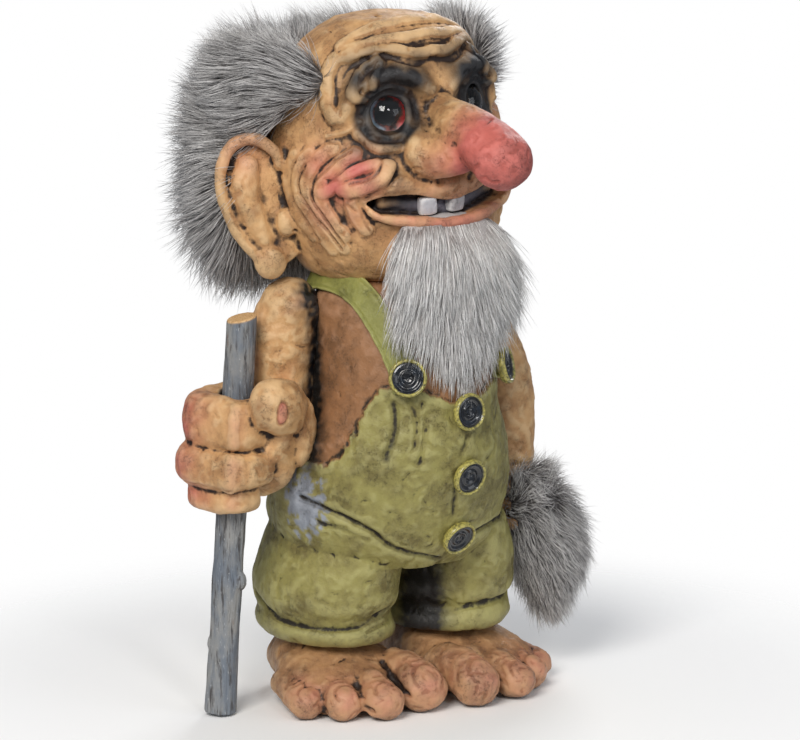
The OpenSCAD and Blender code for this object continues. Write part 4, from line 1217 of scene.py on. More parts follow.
# Creases of the dungarees: width, depth, places
CLOTH_CREASES = (
    (2.0, 3.4,
     [(-56, -14, 108), (-53, -27.4, 105), (-45.2, -39.7, 99.2), (-36.1, -46, 93.6), (-26.9, -48.4, 85.7),
                (-10.2, -50.9, 79.2), (2, -50, 75)]),
    (1.4, 1.8, [(-52, -25, 97), (-44, -37, 94), (-36, -43, 90)]),
    (2.0, 3.2, [(7, -56, 82), (14.5, -58.4, 86), (27.4, -55.2, 89), (42.3, -47.4, 90), (54, -36, 94)]),
    (2.1, 3.4, [(-55, 26, 52), (-58.6, 7.3, 44.5), (-56, -8.6, 42.5), (-49, -21.5, 42), (-35.7, -30.8, 42),
                (-24.5, -33, 45), (-12, -30, 49)]),
    (1.3, 1.4, [(-30, -33, 39), (-20, -32, 41), (-10, -28, 41)]),
    (1.9, 3.0, [(16, -34, 41), (26.9, -39.6, 44.2), (36.3, -42.5, 45), (49.7, -41.3, 46), (62, -32, 48)]),
    (1.2, 1.3, [(1.5, -73.5, 141), (-2, -73, 134)]),
    (1.3, 1.5, [(-3, -68.6, 115), (-1, -65, 104), (1, -59, 92)]),
    (1.8, 2.2, [(3.5, -53, 80), (5, -44, 72)]),
    # Soft drag lines below the button of the brace
    (2.6, 1.5, [(-32, -58, 158), (-33, -60, 146), (-36, -57, 132)]),
    (2.2, 1.2, [(-26, -62, 160), (-24, -66, 148), (-25, -66, 136)]),
    (2.0, 1.1, [(-18, -66, 156), (-21, -68, 142), (-23, -67, 130)]),
    (2.4, 1.2, [(-44, -44, 150), (-47, -42, 138), (-50, -36, 128)]))

# Painted shade down the body under the right arm
UNDER_ARM_SHADE = ((-40, -6, 186), (-43, -9, 172), (-44, -12, 155), (-48, -17, 141), (-51, -20, 127))


class Torso:
    """The body: bare chest and painted dungarees in one casting."""

    def __init__(self, sizes: TorsoSizes) -> None:
        """Works out the stations of the trunk."""
        self.sizes = s = sizes
        self.stations = [
            [7, -2, 72, s.belly_width * 0.40, s.belly_depth * 0.37],
            [6, -3, 82, s.belly_width * 0.475, s.belly_depth * 0.45],
            [4, -6, s.waist - 16, s.belly_width * 0.5, s.belly_depth * 0.485],
            [3, -10, s.waist, s.belly_width * 0.5, s.belly_depth * 0.5],
            [1, -6 - s.lean * 0.55, s.waist + 20, s.belly_width * 0.46, s.belly_depth * 0.495],
            [0, -3 - s.lean, s.waist + 40, s.chest_width * 0.52, s.chest_depth * 0.5],
            [0, -4 - s.lean, s.waist + 57, s.chest_width * 0.5, s.chest_depth * 0.485],
            [0, -3 - s.lean, s.shoulder - 22, s.chest_width * 0.485, s.chest_depth * 0.43],
            [0, 1 - s.lean, s.shoulder - 4, s.chest_width * 0.45, s.chest_depth * 0.34],
            [0, 4 - s.lean, s.shoulder + 7, 27, 25.65]]

    def spot(self, turn: float, z: float, out: float = 0.0) -> Array:
        """A place on the trunk: turn is 0 at the front and grows towards his left."""
        return on_section(np.array(self.stations), turn, z, out)

    def leg_spot(self, side: int) -> Array:
        """The middle of a leg on the ground plane."""
        p = np.array([7 + side * self.sizes.leg_spacing / 2, 3, 0.0])
        return turn_matrix(self.sizes.stance, 2) @ p

    def leg(self, side: int) -> Shell:
        """One trouser leg with its full knee and its cuff."""
        s = self.sizes
        x, y, _ = self.leg_spot(side)
        rows = [(-2, -2, 0, .455, .45), (-1, -1, 3, .49, .49), (0, 0, 6, .495, .50), (0, 0, 9, .475, .485),
                (0, 0, 12.5, .47, .475), (-0.5, -0.5, 19, .505, .525), (-1, -1, 28, .505, .54),
                (-3, -3, 41, .475, .55), (-7, -5, 59, .42, .52)]
        return stack([[x + side * dx, y + dy, s.hem + dz, s.leg_width * w, s.leg_depth * d]
                      for dx, dy, dz, w, d in rows], sides=64, crown=0.5)

    def cloth_mask(self, p: Array) -> Array:
        """1 where the dungarees are, with a ragged edge."""
        s = self.sizes
        side_top = s.waist + 14
        half = np.interp(p[:, 2], [side_top, s.bib_top - 16, s.bib_top], [s.bib_width * .62, s.bib_width * .5,
                                                                         s.bib_width * .42])
        ragged = np.array([noise.noise(Vector(q) / 5.0) + 0.6 * noise.noise(Vector(q) / 2.1) for q in p])
        dip = s.bib_top - 9 * np.exp(-((p[:, 0] / 17) ** 2))
        bib = np.minimum(half - np.abs(p[:, 0]), dip - p[:, 2])
        edge = np.maximum(side_top - p[:, 2], bib)
        return ease(edge + 1.5 * ragged, -0.35, 0.35)

    def build(self) -> Skin:
        """Models the body."""
        s = self.sizes
        shells = [stack(self.stations, sides=96, steps=6)] + [self.leg(side) for side in (-1, 1)]
        shells.append(blob([6, 30, 92], [46, 26, 24]))
        skin = Skin(shells, 1.1, rounds=4)
        p = skin.points
        mask = self.cloth_mask(p)
        skin.push(s.cloth * mask + 0.5 * near_edge(mask))
        skin.knead(7.7, 0.6)
        fine = skin.lumps(3.2, 8.1) * ease(skin.lumps(22, 6), 0.0, 0.3)
        skin.push(0.2 * fine)
        skin.carve([(run, wide * 0.85, deep * 0.85) for wide, deep, run in CLOTH_CREASES])
        skin.scratch(21, 620, mask + 0.2, depth=0.7)
        p = skin.points
        soot = np.zeros(len(p))
        broken = 0.6 + 0.7 * skin.lumps(2.6, 3.3)
        # Painted shade in the deeper creases of the cloth
        for wide, deep, run in CLOTH_CREASES:
            if deep > 1.25:
                soot = np.maximum(soot, np.clip(broken, 0, 1) * trace(p, run, wide * 0.75))
        # Painted shade between the legs
        gap = near(p, [13.5, -22, 44], [7.5, 13, 40])
        soot = np.maximum(soot, 2.2 * gap * (1 + 0.5 * skin.lumps(3, 1.1)))
        soot = np.maximum(soot, 0.9 * ease(-np.abs(mask - 0.42) + 0.25 * skin.lumps(4, 7), -0.32, 0.05))
        # Painted shade down the side under the right arm
        under_arm = trace(p, UNDER_ARM_SHADE, 7.5)
        soot = np.maximum(soot, 1.25 * under_arm * (1 + 0.5 * skin.lumps(3, 2)))
        # Painted shade on the body under the left arm
        soot = np.maximum(soot, near(p, [52, -8, 150], [14, 16, 36]))
        skin.paint["soot"] = np.clip(soot, 0, 1)
        skin.paint["skin"] = 1 - mask
        patch = near(p, [-55, -16, 106], [9, 15, 21]) + 0.55 * near(p, [-48, -40, 146], [8, 9, 8])
        skin.paint["worn"] = ease(patch + 0.45 * skin.lumps(4, 2.2) + 0.25 * skin.lumps(1.9, 5), 0.45,
                                  0.62) * mask
        return skin


def near_edge(mask: Array) -> Array:
    """1 where a mask passes from 0 to 1."""
    return 4 * mask * (1 - mask)


# Feet


@dataclass(frozen=True)
class FootSizes:
    """Sizes of a foot in millimetres."""

    length: float = 96
    width: float = 74
    instep: float = 36
    toe: float = 12.5
    ankle: float = 21.7
    splay: float = 14


class Foot:
    """A broad bare foot with four toes, in the frame of its ankle."""

    # The toes' frame reaches this share of the foot's length ahead of the ankle
    REACH = 0.71
    # Place across the foot, reach and size of each toe from the great toe on
    TOES = ((-0.36, 0.97, 1.0), (-0.04, 1.0, 0.82), (0.20, 0.87, 0.76), (0.40, 0.70, 0.70))

    def __init__(self, sizes: FootSizes) -> None:
        """Takes the foot's sizes."""
        self.sizes = sizes

    def shells(self) -> tuple[list[Shell], list[tuple[Array, float]], list]:
        """Models the left foot.

        Returns:
            The shapes, the middle and radius of each nail, and the creases.
        """
        s = self.sizes
        shells = [limb([[0, s.length * .24, s.instep * .42, s.width * .27, s.instep * .42],
                        [0, s.length * .02, s.instep * .48, s.width * .36, s.instep * .5],
                        [0, -s.length * .24, s.instep * .36, s.width * .45, s.instep * .42],
                        [0, -s.length * .40, s.instep * .26, s.width * .44, s.instep * .33]],
                       sides=40, dome=0.8),
                  limb([[0, 0, s.instep * .5, s.ankle, s.ankle],
                        [0, 0, s.instep + 8, s.ankle * .92, s.ankle * .92]],
                       sides=32, dome=0.3)]
        nails, creases = [], []
        for across, reach, size in self.TOES:
            r, x, tip = s.toe * size, across * s.width, reach * s.length * self.REACH
            shells.append(limb(
                [[x * .9, -tip + 38, r * 1.25, r * .88, r * .8],
                 [x * .96, -tip + 27, r * 1.25, r * .93, r * .9],
                 [x, -tip + 17, r * 1.02, r * .97, r * .93],
                 [x * 1.02, -tip + r * .95, r * .84, r * 1.02, r * .88]],
                sides=28, dome=0.98))
            # Knuckle over the toe, and the tendon behind it
            shells.append(limb(
                [[x * .88, -tip + 36, r * 1.75, r * .45, r * .4],
                 [x * .97, -tip + 22, r * 1.62, r * .6, r * .5]],
                sides=16))
            nails.append((np.array([x * 1.02, -tip + r * .55, r * 1.42]), r))
            for back, width in ((17.5, 0.6), (21, 0.5), (14.5, 0.5)):
                creases.append(([[x - r * .7, -tip + back + 1.5, r * 1.5], [x, -tip + back - 1, r * 2.0],
                                 [x + r * .7, -tip + back + 1, r * 1.5]], 0.7, width))
        for (a, ra, _), (b, rb, _) in zip(self.TOES, self.TOES[1:]):
            x = (a + b) * s.width / 2
            tip = min(ra, rb) * s.length * self.REACH
            creases.append(([[x, -tip - 2, 6], [x, -tip + 10, 12], [x * .97, -tip + 22, 17],
                             [x * .95, -tip + 31, 22]], 1.5, 3.4))
        return shells, nails, creases

    def build(self, side: Side, middle: Array, turn: float) -> Skin:
        """Models one foot and puts it under its leg.

        Args:
            side: Which foot.
            middle: Middle of the leg on the ground plane.
            turn: Turn of the foot about the leg.

        Returns:
            The foot's skin.
        """
        shells, nails, creases = self.shells()
        ground = box_shell([-80, -110, -40], [80, 80, 0.0])
        skin = Skin(shells, 0.95, [ground], rounds=2)
        skin.knead(5.5 + side.value, 0.75)
        skin.carve(creases)
        p = skin.points
        pink, soot = np.zeros(len(p)), np.zeros(len(p))
        for middle_of_nail, r in nails:
            flat = (p - middle_of_nail) / [r * 0.62, r * 0.72, r * 0.55]
            d = np.sqrt((flat**2).sum(axis=1))
            rim = np.exp(-(((d - 1.05) / 0.1) ** 2)) * (p[:, 2] > middle_of_nail[2] - r * 0.25)
            skin.push(-0.4 * rim + 0.25 * (d < 0.9))
            soot = np.maximum(soot, 0.15 * rim)
            pink = np.maximum(pink,
                              near(p, middle_of_nail + [0, r * .4, -r * .2], [r * 1.05, r * 1.9, r * 1.2]))
        # Painted shade in the deep creases between the toes
        for run, wide, deep in creases:
            if deep > 2:
                soot = np.maximum(soot, 1.1 * trace(p, run, wide * 0.9))
        skin.scratch(31 + side.value, 260, 0.3 + pink * 2.5, depth=0.6)
        skin.points[:, 2] = np.maximum(skin.points[:, 2], 0)
        # Painted shadow under the trouser cuff round the top of the foot, and painted shade at the ground
        ring = ease(p[:, 2], 31, 36) * 0.9
        skin.paint["soot"] = np.clip(np.maximum(soot, ring) + 0.5 * ease(-p[:, 2], -4, 0), 0, 1)
        skin.paint["blush"] = np.clip(pink * (0.9 + 0.6 * skin.lumps(5, 2.5)), 0, 1)
        if side is Side.RIGHT:
            skin.mirror()
        skin.points = skin.points @ turn_matrix(turn, 2).T + middle
        return skin


# Staff and the fist round it


@dataclass(frozen=True)
class StaffSizes:
    """The staff's place and sizes in millimetres."""

    foot: tuple[float, float, float] = (-90, 7, 0)
    head: tuple[float, float, float] = (-80, -1, 201)
    radius: float = 7.5
    knot: float = 68
    grip: float = 135
    gap: float = 0.45
    knuckle_turn: float = -38


class Staff:
    """A natural twig, in a frame whose z axis runs along it."""

    # Its top end: the cut's slope and bearing in degrees, and how far below the end the cut's middle lies
    SLANT, BEARING, CUT_DEPTH = 16, 30, 3.2

    def __init__(self, sizes: StaffSizes) -> None:
        """Works out the staff's own frame."""
        self.sizes = sizes
        self.foot = np.array(sizes.foot, float)
        axis = np.array(sizes.head, float) - self.foot
        self.length = float(np.linalg.norm(axis))
        self.axis = axis / self.length
        lean = math.degrees(math.acos(self.axis[2]))
        bearing = math.degrees(math.atan2(self.axis[1], self.axis[0]))
        self.matrix = turn_matrix(bearing, 2) @ turn_matrix(lean, 1)

    def place(self, points: Array, turn: float = 0.0) -> Array:
        """Moves points from the staff's frame, turned about its axis, to the figure's."""
        return points @ (self.matrix @ turn_matrix(turn, 2)).T + self.foot

    def build(self) -> Skin:
        """Models the twig with its knot, its bark and its slanted cut."""
        r = self.sizes.radius
        rows = [[0, 0, 1, r + .3, r + .3], [0, 0, 20, r + .15, r + .15], [0, 0, 42, r - .3, r - .3],
                [0, 0, 59, r - .1, r - .1], [0, 0, 68, r + .1, r + .1], [0, 0, 78, r - .3, r - .3],
                [0, 0, 96, r, r], [0, 0, 160, r - .05, r - .05], [0, 0, 190, r - .2, r - .2],
                [0, 0, 206, r - .6, r - .6]]
        a = math.radians(-25)
        knot = blob([(r - 1.6) * math.cos(a), (r - 1.6) * math.sin(a), self.sizes.knot], [4.3, 4.3, 5.2])
        scar = blob([-(r - .9), -1, 36], [1.6, 2.6, 3.6])
        cut_at = [0, 0, self.length - self.CUT_DEPTH]
        slant = box_shell([-30, -30, 0], [30, 30, 40]).turned(-self.SLANT,
                                                              1).turned(self.BEARING).moved(cut_at)
        skin = Skin([stack(rows, sides=48, steps=8, crown=0.5), knot, scar], 0.55, [slant], rounds=1)
        p = skin.points
        angle = np.arctan2(p[:, 1], p[:, 0])

        def fibrous(across: float, along: float, shift: float) -> Array:
            """Noise drawn out along the twig."""
            return np.array([noise.noise(Vector((math.cos(b) * across, math.sin(b) * across,
                                                 z / along + shift)))
                             for b, z in zip(angle, p[:, 2])])

        fibres, fine = fibrous(6, 17, 0), fibrous(15, 9, 50)
        normal = (turn_matrix(self.BEARING, 2) @ turn_matrix(-self.SLANT, 1)) @ [0, 0, 1]
        below = (p - cut_at) @ normal
        bark = 1 - ease(below, -1.2, -0.3)
        skin.push(bark * (0.34 * fibres + 0.22 * fine - 0.05))
        skin.paint["cut"] = 1 - bark
        across = np.linalg.norm(p[:, :2] - [0.8, -0.4], axis=1)
        skin.paint["heart"] = (1 - ease(across, 0.9, 1.9)) * 0.9
        skin.points[:, 2] = np.maximum(skin.points[:, 2], 0.02)
        skin.points = self.place(skin.points)
        skin.points[:, 2] = np.maximum(skin.points[:, 2], 0.0)
        return skin


class RightFist:
    """The fist round the staff, in the staff's frame turned so that the knuckles face outwards."""

    # Each finger's height above the grip, half width and thickness, as shares of a finger's radius
    FINGERS = ((1.4, 1.36, 0.92), (-0.77, 1.04, 1.05), (-2.3, 0.72, 0.68))
    RADIUS = 10.0
    # Turn from a frame that faces the camera to the fist's
    FACING = 38.7

    def __init__(self, staff: Staff) -> None:
        """Takes the staff that the hand holds."""
        self.staff = staff

    @staticmethod
    def grip(angle: float, radius: float, power: float = 6.0) -> Array:
        """A rounded square path round the staff, as knuckles fold."""
        c, s = math.cos(math.radians(angle)), math.sin(math.radians(angle))
        scale = (abs(c) ** power + abs(s) ** power) ** (-1 / power) * 0.96
        return np.array([c, s]) * radius * scale

    def build(self) -> Skin:
        """Models fingers, palm and thumb, cuts the bore and paints the knuckles."""
        z0, r0 = self.staff.sizes.grip, self.staff.sizes.radius + self.staff.sizes.gap
        shells, ridges, knuckles = [], [], []
        for (high, half, thick), end in zip(self.FINGERS, (352, 366, 356)):
            high, half, thick = high * self.RADIUS, half * self.RADIUS, thick * self.RADIUS
            path = r0 + thick * 0.72
            rows = []
            for angle, fat in ((140, .92), (166, .98), (190, 1.0), (214, .98), (236, 1.02), (262, .95),
                               (288, .94),
                               (312, .94), (330, .9), (end, .84)):
                x, y = self.grip(angle, path)
                rows.append([x, y, z0 + high + 1.5 * math.sin(math.radians(angle)),
                             half * (1 if angle < 300 else .9),
                             thick * fat])
            shells.append(limb(rows, wide=(0, 0, 1), sides=28, steps=3, dome=0.7, square=0.76))
            x, y = self.grip(312, path + thick * 1.0)
            ridges.append((np.array([x, y, z0 + high]), half))
            x, y = self.grip(236, path + thick)
            knuckles.append((np.array([x, y, z0 + high]), half))
        palm = [[*self.grip(a, r0 + 9.9), z0 + dz, half, 10.5] for a, dz, half in
                ((20, 7, 15), (50, 3, 20), (85, -2, 25), (115, -2, 26), (145, -2, 26))]
        shells.append(limb(palm, wide=(0, 0, 1), sides=32, dome=0.7))
        thumb = limb([[24, 12, z0 + 13, 12, 9], [24, -2, z0 + 19, 13, 10.4], [21.5, -13, z0 + 23, 13.6, 11],
                      [17, -20, z0 + 24.5, 13, 11]], wide=(0, 0, 1), sides=32, square=0.92)
        heel = blob([31, 6, z0 + 8], [8, 11, 18])
        shells += [part.turned(self.FACING) for part in (thumb, heel)]
        bore = tube([[0, 0, z0 - 70], [0, 0, z0 + 70]], r0 + 0.5, sides=48)
        skin = Skin(shells, 0.85, [bore], rounds=2)
        skin.knead(2.2, 0.7)
        p = skin.points
        creases = []
        for lower, low_half in ((0, 1), (1, 2)):
            high = z0 + (self.FINGERS[lower][0] - self.FINGERS[lower][1] + self.FINGERS[low_half][0]
                         + self.FINGERS[low_half][1]) * self.RADIUS / 2
            run = [[*self.grip(a, 27 if lower == 0 else 24), high + 1.5 * math.sin(math.radians(a))]
                   for a in range(150, 338, 12)]
            creases.append((run, 1.1, 2.2))
        nail = self.nail_spot(z0)
        under = np.array([[4.5, -24, z0 + 36], [2.5, -29, z0 + 26], [6, -33, z0 + 15], [15, -34, z0 + 9.5],
                          [25, -27, z0 + 9]]) @ turn_matrix(self.FACING, 2).T
        creases.append((under, 1.0, 1.8))
        ridge = turn_matrix(self.FACING, 2) @ [0, -26.5, 0]
        skin.push(2.2 * near(skin.points * [1, 1, 0], ridge, 3.5) * (skin.points[:, 2] < z0 + 28))
        skin.carve(creases)
        flat = self.nail_frame(skin.points, nail)
        d = np.sqrt((flat[:, 0] / 3.1) ** 2 + (flat[:, 1] / 5.6) ** 2)
        on_nail = (flat[:, 2] > -4) & (flat[:, 2] < 8)
        rim = np.exp(-(((d - 1.0) / 0.12) ** 2)) * on_nail
        skin.push(-0.6 * rim + 0.3 * ease(-d, -0.9, -0.7) * on_nail)
        skin.scratch(41, 150, depth=0.5)
        p = skin.points
        blush, soot = np.zeros(len(p)), 0.3 * rim
        for spot, half in knuckles:
            blush = np.maximum(blush, 0.85 * near(p, spot, [14, 14, half * 1.2]))
        blush = np.maximum(blush, 0.8 * ease(-d, -1.15, -0.85) * on_nail)
        for spot, half in ridges:
            blush = np.maximum(blush, 0.35 * near(p, spot, [5, 5, half]))
        # Painted shade along the creases, and inside the fist where it closes round the staff
        for run, wide, _ in creases:
            soot = np.maximum(soot, 0.8 * trace(p, run, wide * 0.85))
        radial = np.linalg.norm(p[:, :2], axis=1)
        soot = np.maximum(soot, 1 - ease(radial, r0 + 0.8, r0 + 2.5))
        bored = (radial < r0 + 0.1) & (np.abs(p[:, 2] - z0) < 32)
        skin.points[bored, :2] *= ((r0 + 0.1) / np.maximum(radial[bored], 1))[:, None]
        skin.paint["blush"] = np.clip(blush * (0.9 + 0.5 * skin.lumps(6, 1.5)), 0, 1)
        skin.paint["soot"] = np.clip(soot, 0, 1)
        skin.points = self.staff.place(skin.points, self.staff.sizes.knuckle_turn)
        return skin

    def nail_spot(self, z0: float) -> Array:
        """Middle of the thumb's nail."""
        return turn_matrix(self.FACING, 2) @ [24.8, -30.5, z0 + 22.5]

    def nail_frame(self, p: Array, middle: Array) -> Array:
        """Points seen from the nail: across it, along it and out of it."""
        out = np.array([middle[0], middle[1], 0]) / np.linalg.norm(middle[:2])
        across = np.cross([0, 0, 1], out)
        offset = p - middle
        return np.stack([offset @ across, offset[:, 2], offset @ out], axis=1)


# Arms, left hand and tail


class Arms:
    """Both arms, from the shoulders to the wrists."""

    def __init__(self, torso: Torso, staff: Staff) -> None:
        """Takes the body and the staff that the arms reach between."""
        self.torso = torso
        self.staff = staff

    def right(self) -> Skin:
        """The right arm: straight down and bent forward to the staff."""
        grip = self.staff.foot + self.staff.axis * (self.staff.sizes.grip / self.staff.axis[2])
        wrist = grip + [25, 2, 1]
        elbow = [float(self.torso.spot(-90, 141)[0]) + 1.4, 10, 141]
        upper = limb([[-49, 3, 199, 15.7, 15.2], [-52, 5, 184, 17.5, 16.5], [-51.5, 7, 167, 16.8, 16.5],
                      [elbow[0], elbow[1], elbow[2], 17.3, 17.3]], sides=36)
        lower = limb([[*elbow, 14.8, 14.8], [*wrist, 14.2, 14.2]], wide=(0, 0, 1), sides=32)
        skin = Skin([upper, lower], 1.0, rounds=3)
        skin.knead(9.1, 0.9)
        skin.carve([([[-64, -12, 152], [-54, -12, 150], [-44, -10, 153]], 1.4, 1.6),
                    ([[-66, -9, 172], [-58, -13, 168]], 1.2, 1.0),
                    ([[-60, -12, 184], [-50, -12, 181]], 1.2, 0.9)])
        skin.scratch(51, 160, depth=0.5)
        p = skin.points
        # Painted shade on the inner side of the arm, against the body, and on the top of the shoulder under
        # the head
        soot = 1.4 * near(p, [-40, -3, 165], [9, 26, 42])
        soot += 0.9 * near(p, [-44, -9, 204], [11, 12, 12])
        skin.paint["soot"] = np.clip(soot * (1 + 0.6 * skin.lumps(3, 4)), 0, 1)
        skin.paint["blush"] = np.clip(0.3 * skin.lumps(12, 3.3), 0, 0.3)
        return skin

    def left(self, hand: Row) -> Skin:
        """The left arm: out from the shoulder and down to the hand at the tail."""
        x, y, z = hand
        skin = Skin([limb([[46, 0, 201, 15.2, 14.9], [56, -3, 191, 16.5, 16.5], [64, -7, 178, 16.2, 16.5],
                           [x - 3, y + 8, z + 62, 16.5, 16.5], [x - 1, y + 6, z + 40, 15.7, 15.7],
                           [x, y + 3, z + 20, 13.2, 13.2]], sides=36, dome=0.6)], 1.0, rounds=3)
        skin.knead(4.6, 0.9)
        skin.scratch(52, 160, depth=0.5)
        p = skin.points
        # Painted shade on the inner side of the arm, against the body
        inner = near(p, [55, -6, 150], [10, 26, 46])
        skin.paint["soot"] = np.clip(inner * (1 + 0.6 * skin.lumps(3, 9)), 0, 1)
        skin.paint["blush"] = np.zeros(len(p))
        return skin


class TailHand:
    """The left hand, closed round the end of the tail, and the tail itself."""

    SPOT = np.array([74.0, -21.0, 92.0])

    def hand(self) -> Skin:
        """Models the closed hand."""
        shells = [limb([[0, 3, 14, 12, 13], [1, 2, 2, 13, 14], [1, 0, -8, 12, 13]], sides=32)]
        creases = []
        for k in range(3):
            z = 7 - 9.2 * k
            shells.append(limb([[-9, 8, z, 5, 5.4], [-4, -9, z, 5, 5.6], [8, -13.4, z, 5, 5.8],
                                [15, -5, z, 5, 5.2]],
                               wide=(0, 0, 1), sides=20))
            if k:
                creases.append(([[-13, 4, z + 4.6], [-8, -12, z + 4.6], [8, -19, z + 4.6], [20, -7, z + 4.6]],
                                1.2,
                                1.6))
        skin = Skin(shells, 0.9, rounds=2)
        skin.knead(6.1, 0.6)
        skin.carve(creases)
        skin.scratch(53, 60, depth=0.4)
        # Painted shade along the creases between the fingers
        lines = [0.9 * trace(skin.points, run, 1.3) for run, _, _ in creases]
        skin.paint["soot"] = np.clip(np.max(lines, axis=0), 0, 1)
        skin.paint["blush"] = 0.6 * near(skin.points, [0, -16, 0], [14, 8, 14])
        skin.points = skin.points + self.SPOT
        return skin

    def tail_run(self) -> list[list[float]]:
        """The tail's path, from the seat round his left side and down through the hand."""
        start, end = self.SPOT + [10, 4, 14], self.SPOT + [7, -1, -14]
        r = 7.5
        return [[6, 40, 94, r * 1.1, r * 1.1], [12, 58, 86, r, r], [34, 62, 74, r * .92, r * .92],
                [62, 46, 72, r * .86, r * .86], [82, 22, 86, r * .8, r * .8], [88, -7, 112, r * .76, r * .76],
                [*start, r * .72, r * .72], [*end, r * .66, r * .66]]

    def tail(self) -> Skin:
        """Models the tail."""
        skin = Skin([limb(self.tail_run(), wide=(0, 0, 1), sides=28)], 0.9, rounds=2)
        skin.knead(8.3, 0.6)
        skin.scratch(54, 80, depth=0.4)
        return skin


# Braces and buttons


class Braces:
    """Straps from the bib over the shoulders and down the back."""

    WIDTH = 14.0
    THICK = 2.6
    # Corners of the strap's slightly domed section, as shares of half its width and thickness
    SECTION = ((1, 1), (.5, 1.12), (0, 1.16), (-.5, 1.12), (-1, 1), (-1.04, 0), (-1, -1), (0, -1), (1, -1),
               (1.04, 0))
    # Distance of the stitched grooves from the strap's middle
    GROOVE = 5.6
    # Turn from the front, height and extra lift of the strap's places on the body
    PLACES = ((36, 165, 0), (39, 178, 0), (46, 196, 0.5), (60, 210, 2), (92, 215, 4), (128, 210, 3),
              (146, 192, 1), (156, 160, 0), (162, 116, 0))

    def __init__(self, torso: Torso) -> None:
        """Takes the body that the straps lie on."""
        self.torso = torso

    def build(self, side: Side) -> Skin:
        """Models one strap."""
        lift = self.THICK / 2 + 2.4
        run = np.array([self.torso.spot(side.value * t, z, lift + more) for t, z, more in self.PLACES])
        inner = np.array([self.torso.spot(side.value * t, z - 6, -12) for t, z, _ in self.PLACES])
        run, inner = smooth_run(run, 6), smooth_run(inner, 6)
        along = np.gradient(run, axis=0)
        along /= np.linalg.norm(along, axis=1)[:, None]
        out = run - inner
        out -= along * (out * along).sum(axis=1)[:, None]
        out /= np.linalg.norm(out, axis=1)[:, None]
        across = np.cross(along, out)
        rings = np.stack([run + across * (u * self.WIDTH / 2) + out * (v * self.THICK / 2)
                          for u, v in self.SECTION], axis=1)
        shell = skin_over(rings, run[0], run[-1])
        skin = Skin([shell], 0.75, rounds=2)
        skin.knead(3 + side.value, 0.35)
        grooves = [[[*(q + a * (s * self.GROOVE) + o * 1.5)] for q, a,
                    o in zip(run[::6], across[::6], out[::6])]
                         for s in (1, -1)]
        skin.carve([(groove, 0.7, 0.5) for groove in grooves])
        skin.scratch(61 + side.value, 90, depth=0.45)
        return skin


# Name, turn from the front, height, distance from the cloth and turn of the holes
BUTTONS = (("right_brace_button", -36, 171, 3.6, 20), ("left_brace_button", 36, 171, 3.6, -35),
           ("front_button_top", 0, 153, 0.4, 70), ("front_button_middle", 0, 121, 0.4, 50),
           ("front_button_bottom", 0, 89, 0.4, 15))


@dataclass(frozen=True)
class ButtonSizes:
    """Sizes of a button in millimetres."""

    diameter: float = 18
    thickness: float = 4.5


class Button:
    """A glossy button in a cup of painted cloth: a dished face with a ring and two blind holes."""

    # Distance from the middle and height, as shares of the radius and the thickness
    PROFILE = ((0, 0.0), (.9, 0.0), (1.0, .3), (1.03, .62), (.99, .9), (.93, 1.0), (.86, .93), (.83, .72),
               (.79, .70),
               (.74, .80), (.66, .78), (.60, .60), (.50, .56), (.44, .60), (.40, .72), (.33, .74), (.29, .62),
               (.16, .56), (.06, .55))

    def __init__(self, sizes: ButtonSizes, torso: Torso) -> None:
        """Takes the button's sizes and the body that it sits on."""
        self.sizes = sizes
        self.torso = torso

    def build(self, name: str, turn: float, z: float, lift: float, tilt: float = 0.0) -> Object:
        """Models one button on the body.

        Args:
            name: Name of the piece.
            turn: Turn of its spot towards his left.
            z: Height of its spot.
            lift: Its distance from the body.
            tilt: Turn of its holes.

        Returns:
            The piece.
        """
        r, t = self.sizes.diameter / 2, self.sizes.thickness
        profile = [(r * across, t * high) for across, high in self.PROFILE]
        sides = 96
        angles = angles_of(sides)
        rings = np.array([[[q * math.cos(a), q * math.sin(a), h] for a in angles] for q, h in profile[1:]])
        for hole in (1, -1):
            middle = np.array([hole * r * .20, 0])
            d = np.linalg.norm(rings[:, :, :2] - middle, axis=2)
            rings[:, :, 2] -= 1.0 * np.exp(-((d / 1.0) ** 4)) * (rings[:, :, 2] > t * .4)
        wobble = np.array([0.12 * noise.noise(Vector((p[0] / 3, p[1] / 3, z))) for p in rings.reshape(-1, 3)])
        rings[:, :, 2] += wobble.reshape(rings.shape[:2])
        shell = skin_over(rings, np.array([0, 0, 0.0]), np.array([0, 0, t * .52]))
        rim = np.concatenate([[1.0], np.repeat([1.0 if q > r * .84 else 0.0 for q, _ in profile[1:]], sides),
                              [0.0]])
        spot = self.torso.spot(turn, z, lift)
        reach = 4
        rise = self.torso.spot(turn, z + reach, lift) - self.torso.spot(turn, z - reach, lift)
        a = math.radians(turn)
        back = math.degrees(math.atan2(rise[1] * math.cos(a) - rise[0] * math.sin(a), 2 * reach))
        shell = shell.turned(tilt).moved([0, 0, 0.3]).turned(90 - back, 0).turned(turn).moved(spot)
        mesh = mesh_of(name, to_packed(shell.points), shell.faces)
        layer = mesh.attributes.new("rim", "FLOAT", "POINT")
        layer.data.foreach_set("value", rim.astype(np.float32))
        return linked(name, mesh)


# Eyes


